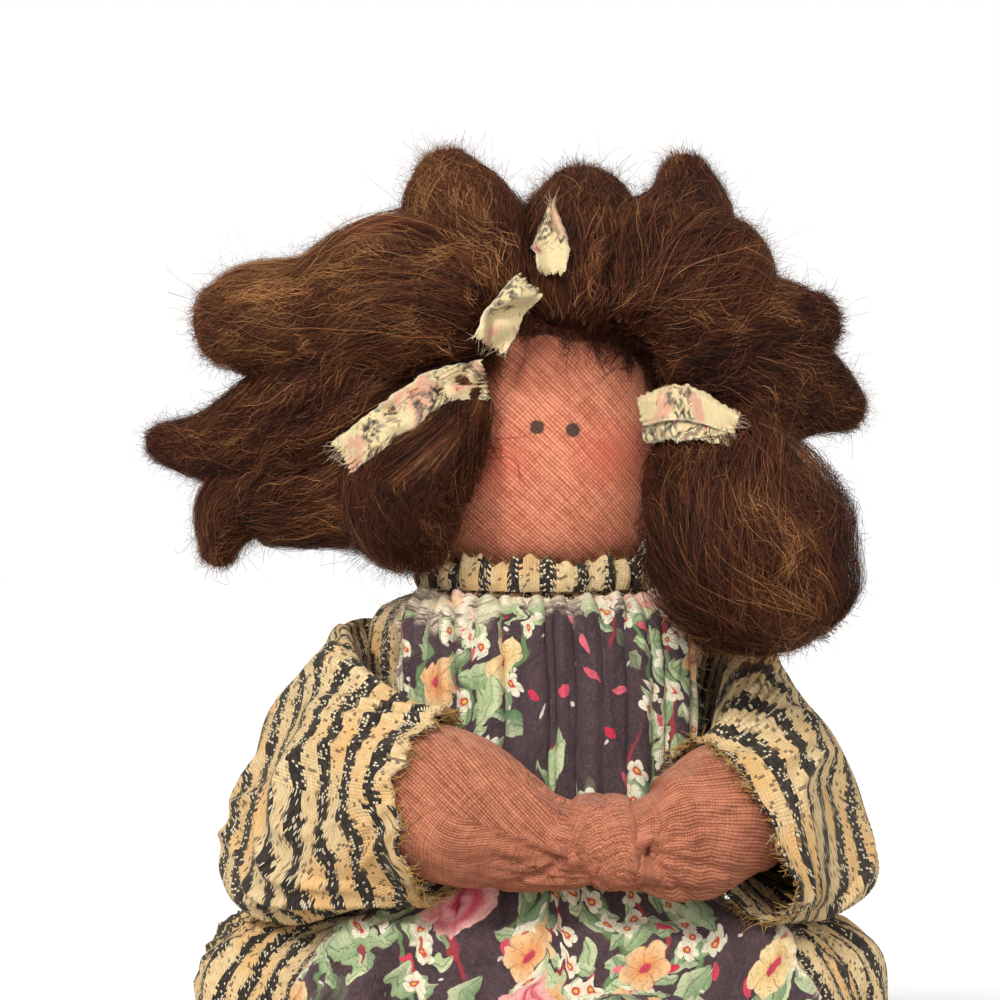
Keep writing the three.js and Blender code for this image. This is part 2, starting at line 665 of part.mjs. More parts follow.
// Hair: bunches of roving. Each row is a place on a bunch's middle line, as shares of the hair's half
// width, half depth and half height from its middle, then the bunch's thickness there as a share.
const bunchShares = {
  hair_lower_right: [
    [0.405, -0.4, -0.094, 1.1],
    [0.535, -0.6, -0.321, 1.8],
    [0.6, -0.84, -0.566, 2.1],
    [0.649, -0.94, -0.777, 1.6],
    [0.686, -0.94, -0.936, 0.6],
  ],
  hair_left_cheek: [
    [-0.23, -0.36, 0.057, 0.9],
    [-0.311, -0.48, -0.151, 1.25],
    [-0.392, -0.46, -0.358, 1.1],
    [-0.346, -0.42, -0.558, 0.6],
  ],
  hair_left_point: [
    [-0.27, -0.24, 0.094, 1.3],
    [-0.5, -0.28, 0.057, 1.5],
    [-0.73, -0.2, -0.106, 1.2],
    [-0.905, -0.12, -0.17, 0.75],
    [-1.081, -0.1, -0.151, 0.3],
  ],
  hair_lower_left: [
    [-0.189, 0, -0.113, 1.4],
    [-0.419, -0.12, -0.283, 1.5],
    [-0.635, -0.15, -0.34, 1.15],
    [-0.838, -0.14, -0.408, 0.8],
    [-0.892, -0.12, -0.63, 0.25],
  ],
  hair_upper_left: [
    [-0.135, -0.42, 0.272, 1.1],
    [-0.378, -0.46, 0.377, 1.7],
    [-0.595, -0.38, 0.317, 1.25],
    [-0.797, -0.3, 0.302, 1.1],
    [-0.938, -0.26, 0.264, 0.55],
  ],
  hair_crown_left: [
    [-0.095, -0.42, 0.294, 1],
    [-0.189, -0.3, 0.585, 1.3],
    [-0.243, -0.2, 0.792, 0.95],
    [-0.27, -0.14, 0.958, 0.35],
  ],
  hair_crown_middle: [
    [0.068, -0.42, 0.283, 0.95],
    [0.095, -0.28, 0.547, 1.3],
    [0.114, -0.14, 0.736, 1.05],
    [0.108, -0.06, 0.875, 0.65],
  ],
  hair_crown_right: [
    [0.23, -0.42, 0.272, 1],
    [0.338, -0.34, 0.509, 1.5],
    [0.4, -0.2, 0.736, 0.9],
    [0.389, -0.14, 0.943, 0.35],
  ],
  hair_upper_right: [
    [0.284, -0.44, 0.294, 1.1],
    [0.432, -0.42, 0.434, 1.5],
    [0.527, -0.3, 0.491, 1.1],
    [0.581, -0.22, 0.521, 0.5],
  ],
  hair_right_lobe: [
    [0.311, -0.38, 0.189, 1.1],
    [0.5, -0.4, 0.257, 1.4],
    [0.676, -0.32, 0.283, 0.9],
    [0.811, -0.24, 0.279, 0.45],
  ],
  hair_right_point: [
    [0.351, -0.3, 0.057, 1.2],
    [0.554, -0.34, 0.068, 1.45],
    [0.743, -0.28, 0.03, 0.9],
    [0.881, -0.24, -0.064, 0.3],
  ],
  hair_top_left: [
    [-0.07, -0.02, 0.38, 1.4],
    [-0.28, -0.04, 0.5, 1.4],
    [-0.486, 0, 0.47, 1.1],
    [-0.676, 0.02, 0.377, 0.8],
  ],
  hair_back_top: [
    [0, 0.22, 0.377, 1.6],
    [0.011, 0.42, 0.415, 1.95],
    [0, 0.62, 0.453, 1.85],
    [-0.027, 0.82, 0.423, 1.1],
  ],
  hair_back_right: [
    [0.162, 0.2, 0.151, 1.9],
    [0.351, 0.34, 0.094, 2.3],
    [0.527, 0.44, 0.008, 1.9],
    [0.676, 0.5, -0.094, 0.95],
  ],
  hair_back_left: [
    [-0.162, 0.2, 0.151, 1.9],
    [-0.378, 0.34, 0.094, 2.3],
    [-0.581, 0.42, 0.019, 2],
    [-0.757, 0.48, -0.075, 1.1],
  ],
  hair_back_low: [
    [0, 0.42, 0.132, 1.9],
    [-0.019, 0.54, -0.057, 2.4],
    [0.019, 0.64, -0.28, 2.3],
    [0.041, 0.72, -0.5, 1.3],
  ],
};
const bunchSides = 9;
const bunchSteps = 6;
const bunchLobes = 3;
const lobeShare = 0.09;
const bunchTwist = 0.9;
const thinnestShare = 0.15;
const ringLean = 0.65;

function bunchPath(rows) {
  const middle = new THREE.Vector3(0, 0, hairMiddle);
  const size = new THREE.Vector3(hairWidth / 2, hairDepth / 2, hairHeight / 2);
  return new THREE.CatmullRomCurve3(
    rows.map(([x, y, z]) => new THREE.Vector3(x, y, z).multiply(size).add(middle)),
    false,
    'centripetal',
  );
}

function bunchSolid(rows, extra) {
  const curve = bunchPath(rows);
  const chord = curve.getPoint(1).sub(curve.getPoint(0)).normalize();
  const sideways = Math.abs(chord.y) < Math.abs(chord.z) ? new THREE.Vector3(0, 1, 0) : new THREE.Vector3(0, 0, 1);
  const thicknesses = rows.map((row) => [row[3]]);
  const rings = [];
  for (let step = 0; step <= bunchSteps; step += 1) {
    const share = step / bunchSteps;
    const end = Math.sign(step - bunchSteps / 2);
    const along = curve.getTangent(share).lerp(chord, ringLean).normalize();
    const deep = sideways.clone().addScaledVector(along, -along.dot(sideways)).normalize();
    const wide = new THREE.Vector3().crossVectors(along, deep);
    const centre = curve.getPoint(share).addScaledVector(along, extra * end);
    const [thickness] = smoothRows(thicknesses, share);
    const radius = (Math.max(thickness, thinnestShare) * lockDiameter) / 2;
    rings.push(
      ringOf(bunchSides, (side) => {
        const angle = side + share * bunchTwist;
        const size = radius * (1 + lobeShare * Math.cos(bunchLobes * side)) + extra;
        const point = centre.clone().addScaledVector(wide, size * Math.cos(angle));
        return point.addScaledVector(deep, size * Math.sin(angle));
      }),
    );
  }
  return solidOf(loft(rings));
}

const scalp = stuffedHead(-gap);
const bunchesSoFar = [scalp];
const hairMeshes = [];
for (const [name, rows] of Object.entries(bunchShares)) {
  const bunch = cutBy(bunchSolid(rows, 0), bunchesSoFar);
  hairMeshes.push(add(name, geometryOf(bunch), roving));
  bunchesSoFar.push(bunchSolid(rows, gap));
}

// Ties: torn strips laid on the hair. Places are shares of the hair's half width and half height.
const tieShares = {
  tie_top: { places: [[0.035, 0.5], [0.035, 0.62], [0.04, 0.75]], width: 0.85, taper: 0.3 },
  tie_upper_left: { places: [[-0.045, 0.43], [-0.105, 0.35], [-0.165, 0.26]], width: 1, taper: 0.85 },
  tie_left: { places: [[-0.15, 0.12], [-0.27, 0.04], [-0.41, -0.1], [-0.54, -0.24]], width: 0.95, taper: 0.85 },
  tie_right: { places: [[0.27, 0.03], [0.37, -0.01], [0.46, -0.08], [0.55, -0.17]], width: 1.1, taper: 0.7 },
};
const caster = new THREE.Raycaster();
const underTies = [...hairMeshes, doll.getObjectByName('head_front')];

// The foremost place on the hair within half a strip's width
function hairFront(xShare, zShare) {
  const place = new THREE.Vector3((xShare * hairWidth) / 2, 0, hairMiddle + (zShare * hairHeight) / 2);
  for (const [aside, up] of [[0, 0], [-1, 0], [1, 0], [0, -1], [0, 1]]) {
    const from = new THREE.Vector3(place.x, -hairDepth, place.z);
    from.x += (aside * stripWidth) / 2;
    from.z += (up * stripWidth) / 2;
    caster.set(from, new THREE.Vector3(0, 1, 0));
    const [hit] = caster.intersectObjects(underTies);
    place.y = Math.min(place.y, hit ? hit.point.y : 0);
  }
  return place;
}

underTies.forEach((mesh) => mesh.updateMatrixWorld());
for (const [name, { places, width, taper }] of Object.entries(tieShares)) {
  const curve = new THREE.CatmullRomCurve3(places.map(([x, z]) => hairFront(x, z)));
  const solid = solidOf(
    sheet(2, 8, false, (across, down, face) => {
      const centre = curve.getPoint(down);
      const along = curve.getTangent(down);
      const half = (blend(width, width * taper, down) * stripWidth) / 2;
      const wide = new THREE.Vector3(0, 1, 0).cross(along).normalize();
      const curl = 4 * (across - 0.5) ** 2;
      centre.addScaledVector(wide, (across * 2 - 1) * half);
      centre.y += (face ? -strip : strip) + curl * strip - strip / 2;
      return centre;
    }),
  );
  add(name, geometryOf(cutBy(solid, bunchesSoFar)), scrap);
}

const whole = new THREE.Box3().setFromObject(doll);
const middle = whole.getCenter(new THREE.Vector3());
doll.position.set(-middle.x, -middle.y, -whole.min.z);

export default doll;
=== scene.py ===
import collections
import functools
import math

import bmesh
import bpy
import numpy as np
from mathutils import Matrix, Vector
from mathutils.bvhtree import BVHTree


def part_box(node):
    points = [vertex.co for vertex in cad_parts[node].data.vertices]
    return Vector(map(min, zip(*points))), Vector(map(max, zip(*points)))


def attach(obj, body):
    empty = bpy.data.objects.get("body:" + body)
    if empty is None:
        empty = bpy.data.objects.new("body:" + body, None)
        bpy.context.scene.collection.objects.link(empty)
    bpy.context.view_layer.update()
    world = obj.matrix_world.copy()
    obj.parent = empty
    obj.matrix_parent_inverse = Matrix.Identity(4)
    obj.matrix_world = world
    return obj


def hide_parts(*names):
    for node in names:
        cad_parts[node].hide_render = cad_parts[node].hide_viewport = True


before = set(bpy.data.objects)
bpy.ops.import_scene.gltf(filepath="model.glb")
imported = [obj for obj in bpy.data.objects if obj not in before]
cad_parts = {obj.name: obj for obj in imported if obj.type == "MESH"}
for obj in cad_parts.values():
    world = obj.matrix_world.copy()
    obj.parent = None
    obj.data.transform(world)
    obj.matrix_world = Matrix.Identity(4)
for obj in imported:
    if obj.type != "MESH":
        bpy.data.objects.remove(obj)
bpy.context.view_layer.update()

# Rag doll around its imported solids. Lengths are millimetres in the layout of the source: the doll faces -Y
# and (0, 0, 0) is the middle of the flat seat under the body. place() turns them into the frame's metres.
MM = 0.001
GAP = 0.3
torso_low, torso_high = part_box("torso_front")
SHIFT = np.array([(torso_low[0] + torso_high[0]) / 2, torso_high[1] + GAP / 2 * MM, 0.0])

TORSO_WIDTH = 60
TORSO_DEPTH = 34
TORSO_HEIGHT = 106
NECK_RADIUS = 11
NOD_HEIGHT = 112
HEAD_WIDTH = 46
HEAD_DEPTH = 38
HEAD_HEIGHT = 64
CHIN_HEIGHT = 114.5
HEAD_SHIFT = 1

LEG_RADIUS = 12.5
ANKLE_RADIUS = 9.5
LEG_LENGTH = 138
LEG_X = 15.5
HIP_Y = -27.86
HIP_Z = 12
FOOT_HEIGHT = 37
FOOT_THICKNESS = 21

SHOULDER_HEIGHT = 88
SHOULDER_RADIUS = 12
ARM_HEIGHT = 30
ARM_DEPTH = 21
WRIST_HEIGHT = 17
WRIST_DEPTH = 14
KNOT = np.array([13.5, -38.6, 63.0])
KNOT_WIDTH = 19
KNOT_TALL = 20
KNOT_DEEP = 17
KNOT_REACH = KNOT_WIDTH * 0.62

CLOTH = 1.0
DRESS_WIDTH = 68
DRESS_DEPTH = 44
NECKLINE = 112.5
COLLAR_DOWN = 0.15
COLLAR_FLARE = 3.2
SKIRT_HEIGHT = 45
SKIRT_WIDTH = 144
SKIRT_BACK = 52
SKIRT_BELLY = 40
SKIRT_FRONT = 134
SKIRT_BRIM = 6
SKIRT_BELL, SKIRT_BELL_FRONT = 5, 1.2
HEM_FULLNESS = 2.1
LAP_HALF = 30
LAP_SLOPE = 18.75
LAP_TOP = 25.1
FOLD_COUNT = 9
FOLD_DEPTH = 4.0
BODICE_ROWS, BELL_ROWS, LAP_ROWS = 7, 5, 4
DRESS_ROWS = BODICE_ROWS + BELL_ROWS + LAP_ROWS
FRONT_COLUMNS = 24

SLEEVE_TOP = 106
SLEEVE_BOTTOM = 47
# -1 is the left of the picture and 1 the right; SLEEVE_TURNS are degrees round the body from its side
SLEEVE_BULGE = {-1: 23.5, 1: 27}
SLEEVE_LEAN = 0.55
CUFF_TALL = {-1: 36, 1: 36 * 0.85}
CUFF_DEEP = 25.5
SLEEVE_TURNS = {"back": -52, -1: 66, 1: 50}
CUFF_SHIFT = {-1: 8.0, 1: 5.0}
SLEEVE_SPREAD = {-1: 2.6, 1: 1.6}
SLEEVE_SINK = {-1: 4.0, 1: 7.5}

HAIR_HALF = np.array([74.0, 46.0, 53.0])
HAIR_MIDDLE = np.array([0.0, 0.0, 150.0])
LOCK_RADIUS = 10

# Camera: level, five pixels to the millimetre at the doll's front
CAMERA_DISTANCE = 900
CAMERA_HEIGHT = 130
CAMERA_X = -8
FRONT_PLANE = -20
VIEW_WIDTH = 200
SENSOR = 36

# Values that several pieces share
SIDES = ((-1, "left"), (1, "right"))
ROUND = 6.28  # nearly a whole turn, in radians
THIRDS = (0.0, 2.094, 4.189)  # a third of a turn apart
CORNERS = ((0, 1), (1, 2), (2, 0))  # the sides of a three-sided thread
FLOOR_GAP = 0.15  # the least height of a dress or leg surface
CLOTH_THICK, MUSLIN_THICK, SLEEVE_THICK, TIE_THICK = 0.6, 0.5, 0.7, 0.35
WELD_REACH = 0.00001  # metres
FRONT_START, DEPTH_START = 92, 100  # how far off the rays onto the solids begin
FLOOR_TONE, FLOOR_GLOW, WORLD_LIGHT = 0.86, 0.22, 0.5


def place(points):
    """Layout millimetres as metres of the frame."""
    return np.asarray(points, float) * MM + SHIFT


# ---- numbers -------------------------------------------------------------------------------------------
def blend(a, b, share):
    """From a to b in a straight line."""
    return a + (b - a) * share


def ease(low, high, value):
    """0 at low, 1 at high, smooth between them."""
    t = np.clip((np.asarray(value, float) - low) / (high - low), 0, 1)
    return t * t * (3 - 2 * t)


def hump(offset, width, power=2):
    """1 where offset is 0, and down to nearly 0 beyond width."""
    return np.exp(-((offset / width) ** power))


def unit(vectors):
    return vectors / np.maximum(np.linalg.norm(vectors, axis=-1), 1e-9)[..., None]


def turns(count):
    """Angles of a closed ring of points."""
    return np.arange(count) / count * 2 * np.pi


def smooth_rows(rows, share):
    """A smooth line through rows of values, at shares of its length."""
    rows = np.asarray(rows, float)
    count = len(rows)
    along = np.clip(np.asarray(share, float), 0, 1) * (count - 1)
    row = np.minimum(np.floor(along), count - 2).astype(int)
    t = (along - row)[..., None]
    before, start, end, after = (rows[np.clip(row + k, 0, count - 1)] for k in (-1, 0, 1, 2))
    rise, fall = (end - before) / 2, (after - start) / 2
    bend = 3 * (end - start) - 2 * rise - fall
    twist = 2 * (start - end) + rise + fall
    return start + t * (rise + t * (bend + t * twist))


def xyz(x, y, z):
    """Points from coordinates, each repeated where the others need it."""
    return np.stack(np.broadcast_arrays(x, y, z), axis=-1)


def outline_at(angle, half_width, half_depth, power=2.4):
    """A point of an ellipse, or of a squarer outline where power is above 2."""
    def rounded(value):
        return np.sign(value) * np.abs(value) ** (2 / power)

    return half_width * rounded(np.cos(angle)), half_depth * rounded(np.sin(angle))


def path_points(points, shares):
    """A centripetal Catmull-Rom line through points, as the source draws its paths."""
    points = np.asarray(points, float)
    padded = np.vstack([2 * points[0] - points[1], points, 2 * points[-1] - points[-2]])
    along = np.clip(np.asarray(shares, float), 0, 1) * (len(points) - 1)
    index = np.minimum(np.floor(along), len(points) - 2).astype(int)
    t = (along - index)[:, None]
    x0, x1, x2, x3 = (padded[index + k] for k in range(4))
    steps = (x1 - x0, x2 - x1, x3 - x2)
    d0, d1, d2 = (np.maximum(np.linalg.norm(step, axis=1), 1e-6)[:, None] ** 0.5 for step in steps)
    t1 = ((x1 - x0) / d0 - (x2 - x0) / (d0 + d1) + (x2 - x1) / d1) * d1
    t2 = ((x2 - x1) / d1 - (x3 - x1) / (d1 + d2) + (x3 - x2) / d2) * d1
    return x1 + t * (t1 + t * (-3 * x1 + 3 * x2 - 2 * t1 - t2 + t * (2 * x1 - 2 * x2 + t1 + t2)))


def even_path(points, count):
    """Points evenly spaced along a path, and the direction at each."""
    fine = path_points(points, np.linspace(0, 1, 400))
    lengths = np.concatenate([[0], np.cumsum(np.linalg.norm(np.diff(fine, axis=0), axis=1))])
    places = np.linspace(0, lengths[-1], count)
    line = np.stack([np.interp(places, lengths, fine[:, k]) for k in range(3)], axis=1)
    return line, unit(np.gradient(line, axis=0)), lengths[-1]


def waves(seed, count, low, high):
    """Seeded directions, wave numbers and phases for soft random surfaces."""
    rng = np.random.default_rng(seed)
    turn = rng.uniform(0, 2 * np.pi, count)
    number = 2 * np.pi / np.exp(rng.uniform(np.log(low), np.log(high), count))
    return np.cos(turn) * number, np.sin(turn) * number, rng.uniform(0, 2 * np.pi, count)


def soft_noise(u, v, seed, low, high, count=9):
    """A smooth random surface over millimetres u, v, with waves from low to high long, about -1 to 1."""
    a, b, c = waves(seed, count, low, high)
    return sum(np.sin(a[k] * u + b[k] * v + c[k]) for k in range(count)) / count**0.5 / 1.2


def creases(u, v, seed, low, high, sharp=2.5):
    """Sharp ridges with soft valleys, from 0 to 1."""
    warp = soft_noise(u, v, seed + 50, high, high * 2) * low
    return (1 - np.abs(soft_noise(u + warp, v - warp, seed, low, high))).clip(0, 1) ** sharp


# ---- meshes --------------------------------------------------------------------------------------------
def make_mesh(name, points, faces, uv=None, tone=None):
    """A mesh from layout points. faces is an array of quads or a list; uv is in millimetres."""
    mesh = bpy.data.meshes.new(name)
    corners = place(points)
    if isinstance(faces, np.ndarray):
        count, sides = faces.shape
        mesh.vertices.add(len(corners))
        mesh.vertices.foreach_set("co", corners.astype(np.float32).ravel())
        mesh.loops.add(count * sides)
        mesh.loops.foreach_set("vertex_index", faces.astype(np.int32).ravel())
        mesh.polygons.add(count)
        mesh.polygons.foreach_set("loop_start", np.arange(0, count * sides, sides, dtype=np.int32))
        mesh.polygons.foreach_set("use_smooth", np.ones(count, bool))
        mesh.update(calc_edges=True)
    else:
        mesh.from_pydata(corners.tolist(), [], faces)
        mesh.shade_smooth()
    if uv is not None:
        layer = mesh.uv_layers.new(name="cloth")
        index = np.empty(len(mesh.loops), np.int32)
        mesh.loops.foreach_get("vertex_index", index)
        layer.data.foreach_set("uv", np.asarray(uv, np.float32)[index].ravel())
    if tone is not None:
        layer = mesh.attributes.new("tone", "FLOAT", "POINT")
        layer.data.foreach_set("value", np.asarray(tone, np.float32).ravel())
    mesh.validate()
    return mesh


def make_piece(name, mesh, body, material, replaces=(), thickness=0.0, offset=1.0):
    """A named piece that rides on a body, stands for solids and may have a cloth's thickness in mm."""
    piece = bpy.data.objects.new(name, mesh)
    bpy.context.scene.collection.objects.link(piece)
    mesh.materials.append(material)
    if thickness:
        solid = piece.modifiers.new("thickness", "SOLIDIFY")
        solid.thickness = thickness * MM
        solid.offset = offset
    if body:
        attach(piece, body)
    if replaces:
        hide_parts(*replaces)
    return piece


def weld(mesh):
    """Joins points that lie on each other and turns all faces outwards."""
    work = bmesh.new()
    work.from_mesh(mesh)
    bmesh.ops.remove_doubles(work, verts=work.verts, dist=WELD_REACH)
    bmesh.ops.recalc_face_normals(work, faces=work.faces)
    work.to_mesh(mesh)
    work.free()
    mesh.shade_smooth()


def grid_faces(rows, columns, joined=False):
    """Quads of a grid of points, row by row."""
    across = columns if joined else columns - 1
    r, c = np.meshgrid(np.arange(rows - 1), np.arange(across), indexing="ij")
    nxt = (c + 1) % columns
    here, below = r * columns, (r + 1) * columns
    return np.stack([here + c, below + c, below + nxt, here + nxt], axis=-1).reshape(-1, 4)


def cloth_mesh(name, grid, u, v, tone=0.0):
    """A mesh from a grid of points, with the cloth's millimetres and its wear at each."""
    rows, columns, _ = grid.shape
    uv, tone = np.stack([u, v], axis=-1).reshape(-1, 2), (tone + np.zeros((rows, columns))).reshape(-1)
    return make_mesh(name, grid.reshape(-1, 3), grid_faces(rows, columns), uv, tone)


def closed(grid):
    """A grid whose last column meets its first."""
    return np.concatenate([grid, grid[:, :1]], axis=1)


def shifted(values, reach, **padding):
    """A grid's values as they are at every cell within reach of each cell."""
    padded = np.pad(values, reach, **padding)
    rows, columns = values.shape
    across = range(2 * reach + 1)
    return [padded[i : i + rows, j : j + columns] for i in across for j in across]


def neighbours(values, pick, reach, empty):
    """The least or the greatest of a grid's values within reach cells."""
    return pick.reduce(shifted(values, reach, constant_values=empty))


def blur(values, reach):
    """The mean of a grid's values within reach cells."""
    around = shifted(values, reach, mode="edge")
    return sum(around) / len(around)


def arc_uv(points):
    """Millimetres across and along a grid of points, measured over the surface."""
    across = np.linalg.norm(np.diff(points, axis=1), axis=2).cumsum(axis=1)
    across = np.concatenate([np.zeros((points.shape[0], 1)), across], axis=1)
    along = np.linalg.norm(np.diff(points, axis=0), axis=2).cumsum(axis=0)
    along = np.concatenate([np.zeros((1, points.shape[1])), along], axis=0)
    return across, along


# ---- shader graphs -------------------------------------------------------------------------------------
def operator(kind, swapped=False):
    """A method that feeds this number, and another where there is one, to a Math node."""

    def method(self, *others):
        return self.graph.math(kind, *((*others, self) if swapped else (self, *others)))

    return method


class Value:
    """A number socket that can be worked with as a number."""

    def __init__(self, graph, socket):
        self.graph, self.socket = graph, socket

    __add__ = __radd__ = operator("ADD")
    __sub__, __rsub__ = operator("SUBTRACT"), operator("SUBTRACT", swapped=True)
    __mul__ = __rmul__ = operator("MULTIPLY")
    __truediv__, __pow__ = operator("DIVIDE"), operator("POWER")
    __lt__, __gt__ = operator("LESS_THAN"), operator("GREATER_THAN")
    sin, cos, abs, floor, sqrt = map(operator, ("SINE", "COSINE", "ABSOLUTE", "FLOOR", "SQRT"))

    def ramp(self, low, high):
        """0 at low, 1 at high, smooth between them; low may be the larger."""
        node = self.graph.node("ShaderNodeMapRange")
        node.interpolation_type = "SMOOTHSTEP"
        self.graph.feed(node.inputs["Value"], self)
        flip = not isinstance(low, Value) and not isinstance(high, Value) and low > high
        self.graph.feed(node.inputs["From Min"], high if flip else low)
        self.graph.feed(node.inputs["From Max"], low if flip else high)
        node.inputs["To Min"].default_value = 1.0 if flip else 0.0
        node.inputs["To Max"].default_value = 0.0 if flip else 1.0
        return Value(self.graph, node.outputs["Result"])


class Graph:
    def __init__(self, name, roughness=0.9, sheen=0.0, sheen_tint=(1, 1, 1, 1)):
        self.material = bpy.data.materials.new(name)
        self.material.use_nodes = True
        self.tree = self.material.node_tree
        self.tree.nodes.clear()
        self.shader = self.node("ShaderNodeBsdfPrincipled")
        self.shader.inputs["Roughness"].default_value = roughness
        self.shader.inputs["Specular IOR Level"].default_value = 0.25
        if sheen:
            self.shader.inputs["Sheen Weight"].default_value = sheen
            self.shader.inputs["Sheen Roughness"].default_value = 0.6
            self.shader.inputs["Sheen Tint"].default_value = sheen_tint
        output = self.node("ShaderNodeOutputMaterial")
        self.tree.links.new(self.shader.outputs["BSDF"], output.inputs["Surface"])

    def node(self, kind):
        return self.tree.nodes.new(kind)

    def feed(self, socket, value):
        if isinstance(value, Value):
            self.tree.links.new(value.socket, socket)
        elif isinstance(value, bpy.types.NodeSocket):
            self.tree.links.new(value, socket)
        else:
            socket.default_value = value

    def math(self, kind, *values):
        node = self.node("ShaderNodeMath")
        node.operation = kind
        for socket, value in zip(node.inputs, values):
            self.feed(socket, value)
        return Value(self, node.outputs[0])

    def uv(self):
        """Millimetres over the cloth."""
        node = self.node("ShaderNodeUVMap")
        node.uv_map = "cloth"
        return self.split(node.outputs["UV"])

    def split(self, vector):
        node = self.node("ShaderNodeSeparateXYZ")
        self.feed(node.inputs[0], vector)
        return [Value(self, node.outputs[k]) for k in range(3)]

    def join(self, x, y, z=0.0):
        node = self.node("ShaderNodeCombineXYZ")
        for socket, value in zip(node.inputs, (x, y, z)):
            self.feed(socket, value)
        return node.outputs[0]

    def place(self):
        """Layout millimetres of the surface at rest."""
        node = self.node("ShaderNodeTexCoord")
        x, y, z = self.split(node.outputs["Object"])
        return [(value - float(SHIFT[k])) * 1000.0 for k, value in enumerate((x, y, z))]

    def tone(self):
        node = self.node("ShaderNodeAttribute")
        node.attribute_name = "tone"
        return Value(self, node.outputs["Fac"])

    def noise(self, vector, scale, detail=2.0, rough=0.5):
        node = self.node("ShaderNodeTexNoise")
        self.feed(node.inputs["Vector"], vector)
        node.inputs["Scale"].default_value = scale
        node.inputs["Detail"].default_value = detail
        node.inputs["Roughness"].default_value = rough
        return Value(self, node.outputs["Fac"])

    def chance(self, vector):
        node = self.node("ShaderNodeTexWhiteNoise")
        node.noise_dimensions = "3D"
        self.feed(node.inputs["Vector"], vector)
        return Value(self, node.outputs["Value"])

    def mix(self, share, first, second):
        """The first colour where share is 0, the second where it is 1."""
        node = self.node("ShaderNodeMix")
        node.data_type = "RGBA"
        for index, value in ((0, share), (6, colour(first)), (7, colour(second))):
            self.feed(node.inputs[index], value)
        return node.outputs[2]

    def finish(self, tint, height=None, depth=0.3, roughness=None, strength=0.6):
        """depth is the height in millimetres that 1 stands for."""
        self.feed(self.shader.inputs["Base Color"], colour(tint))
        if roughness is not None:
            self.feed(self.shader.inputs["Roughness"], roughness)
        if height is not None:
            bump = self.node("ShaderNodeBump")
            bump.inputs["Strength"].default_value = strength
            bump.inputs["Distance"].default_value = depth * MM
            self.feed(bump.inputs["Height"], height)
            self.feed(self.shader.inputs["Normal"], bump.outputs["Normal"])
        return self.material


def colour(value):
    """sRGB 0-255 as the scene's linear colour; sockets pass through."""
    if not isinstance(value, tuple):
        return value
    linear = (c / 255 / 12.92 if c <= 10 else ((c / 255 + 0.055) / 1.055) ** 2.4 for c in value[:3])
    return (*linear, 1.0)


def weave(g, u, v, pitch, uneven=0.25, rib=0.0):
    """Plain weave: height from 0 in the gaps to 1 on the threads, and 1 where the thread along v lies on top.
    rib makes the threads along u stand out as ribs."""
    drift_u = g.noise(g.join(u, v * 0.15), 0.25) - 0.5
    drift_v = g.noise(g.join(u * 0.15, v), 0.25) - 0.5
    a = ((u + drift_u * (pitch * uneven * 4)) * (math.pi / pitch)).sin()
    b = ((v + drift_v * (pitch * uneven * 4)) * (math.pi / pitch)).sin()
    top = (a * b) > 0.0
    height = a.abs() ** (0.55 - 0.55 * rib) * b.abs() ** 0.55 if rib else (a * b).abs() ** 0.55
    return height, top


def muslin(name, light, dark, turn=0.0, pitch=0.75, extra=None):
    """Coarse cotton with ribs that run at an angle; extra paints on it."""
    g = Graph(name, roughness=0.92, sheen=0.25, sheen_tint=colour((215, 150, 125)))
    u, v, _ = g.uv()
    c, s = math.cos(math.radians(turn)), math.sin(math.radians(turn))
    across, along = u * c - v * s, u * s + v * c
    height, top = weave(g, across, along, pitch, uneven=0.4, rib=0.6)
    thick = g.noise(g.join(across * 0.12, along), 1.3) * 0.65
    thick = thick + g.noise(g.join(across, along * 0.12), 1.3) * 0.35
    blotch = g.noise(g.join(u, v), 0.09, detail=4)
    # the gaps between the threads are painted darker as shade; thick threads and blotches are the cloth's own
    # tone
    lit = height * 0.55 + top * 0.06 + (thick - 0.5) * 1.1 + (blotch - 0.5) * 0.5 + 0.05
    tint = g.mix(lit.ramp(0.05, 0.95), dark, light)
    if extra:
        tint = extra(g, tint, height)
    lint = g.noise(g.join(u, v), 2.2, detail=4, rough=0.7)
    tint = g.mix(lint.ramp(0.68, 0.8) * 0.35, tint, (205, 160, 140))
    return g.finish(tint, height * 0.8 + thick * 0.5, depth=0.2, strength=0.6)


CHEEKS = ((-10.0, 138.0), (15.0, 139.0))
EYES = ((-0.6, 144.6), (6.6, 144.0))


def face_paint(g, tint, height):
    """Rubbed cheeks, the shade of the hair on the forehead, and two painted dots."""
    x, y, z = g.place()
    front = y < 0.0

    def spot(cx, cz, width, tall):
        return ((((x - cx) / width) ** 2.0) + (((z - cz) / tall) ** 2.0)).sqrt()

    wobble = (g.noise(g.join(x, z), 0.6, detail=3) - 0.5) * 0.35
    for cx, cz in CHEEKS:
        cheek = (spot(cx, cz, 12.0, 10.0) + wobble).ramp(1.0, 0.0) * front
        tint = g.mix(cheek * 0.5, tint, (208, 82, 66))
    # painted shadow of the hair: darker towards the top of the forehead
    tint = g.mix(z.ramp(144.0, 162.0) * 0.62, tint, (92, 40, 26))
    for cx, cz in EYES:
        edge = (spot(cx, cz, 1.5, 1.5) + wobble * 0.6).ramp(1.1, 0.8) * front
        specks = g.noise(g.join(x, z), 3.4, detail=2)
        paint = g.mix(specks.ramp(0.55, 0.7), (36, 40, 40), (98, 100, 90))
        tint = g.mix(edge * (0.72 + height * 0.25), tint, paint)
    return tint


def lint_and_top_highlight(g, tint, _):
    """Pale lint, laid only where the stuffed arms face up, so that it is also a painted highlight on their
    tops.
    """
    node = g.node("ShaderNodeTexCoord")
    up = g.split(node.outputs["Normal"])[2]
    x, y, z = g.place()
    lint = g.noise(g.join(x, y, z), 0.7, detail=4)
    return g.mix(up.ramp(0.45, 1.0) * lint.ramp(0.25, 0.7) * 0.5, tint, (186, 144, 124))


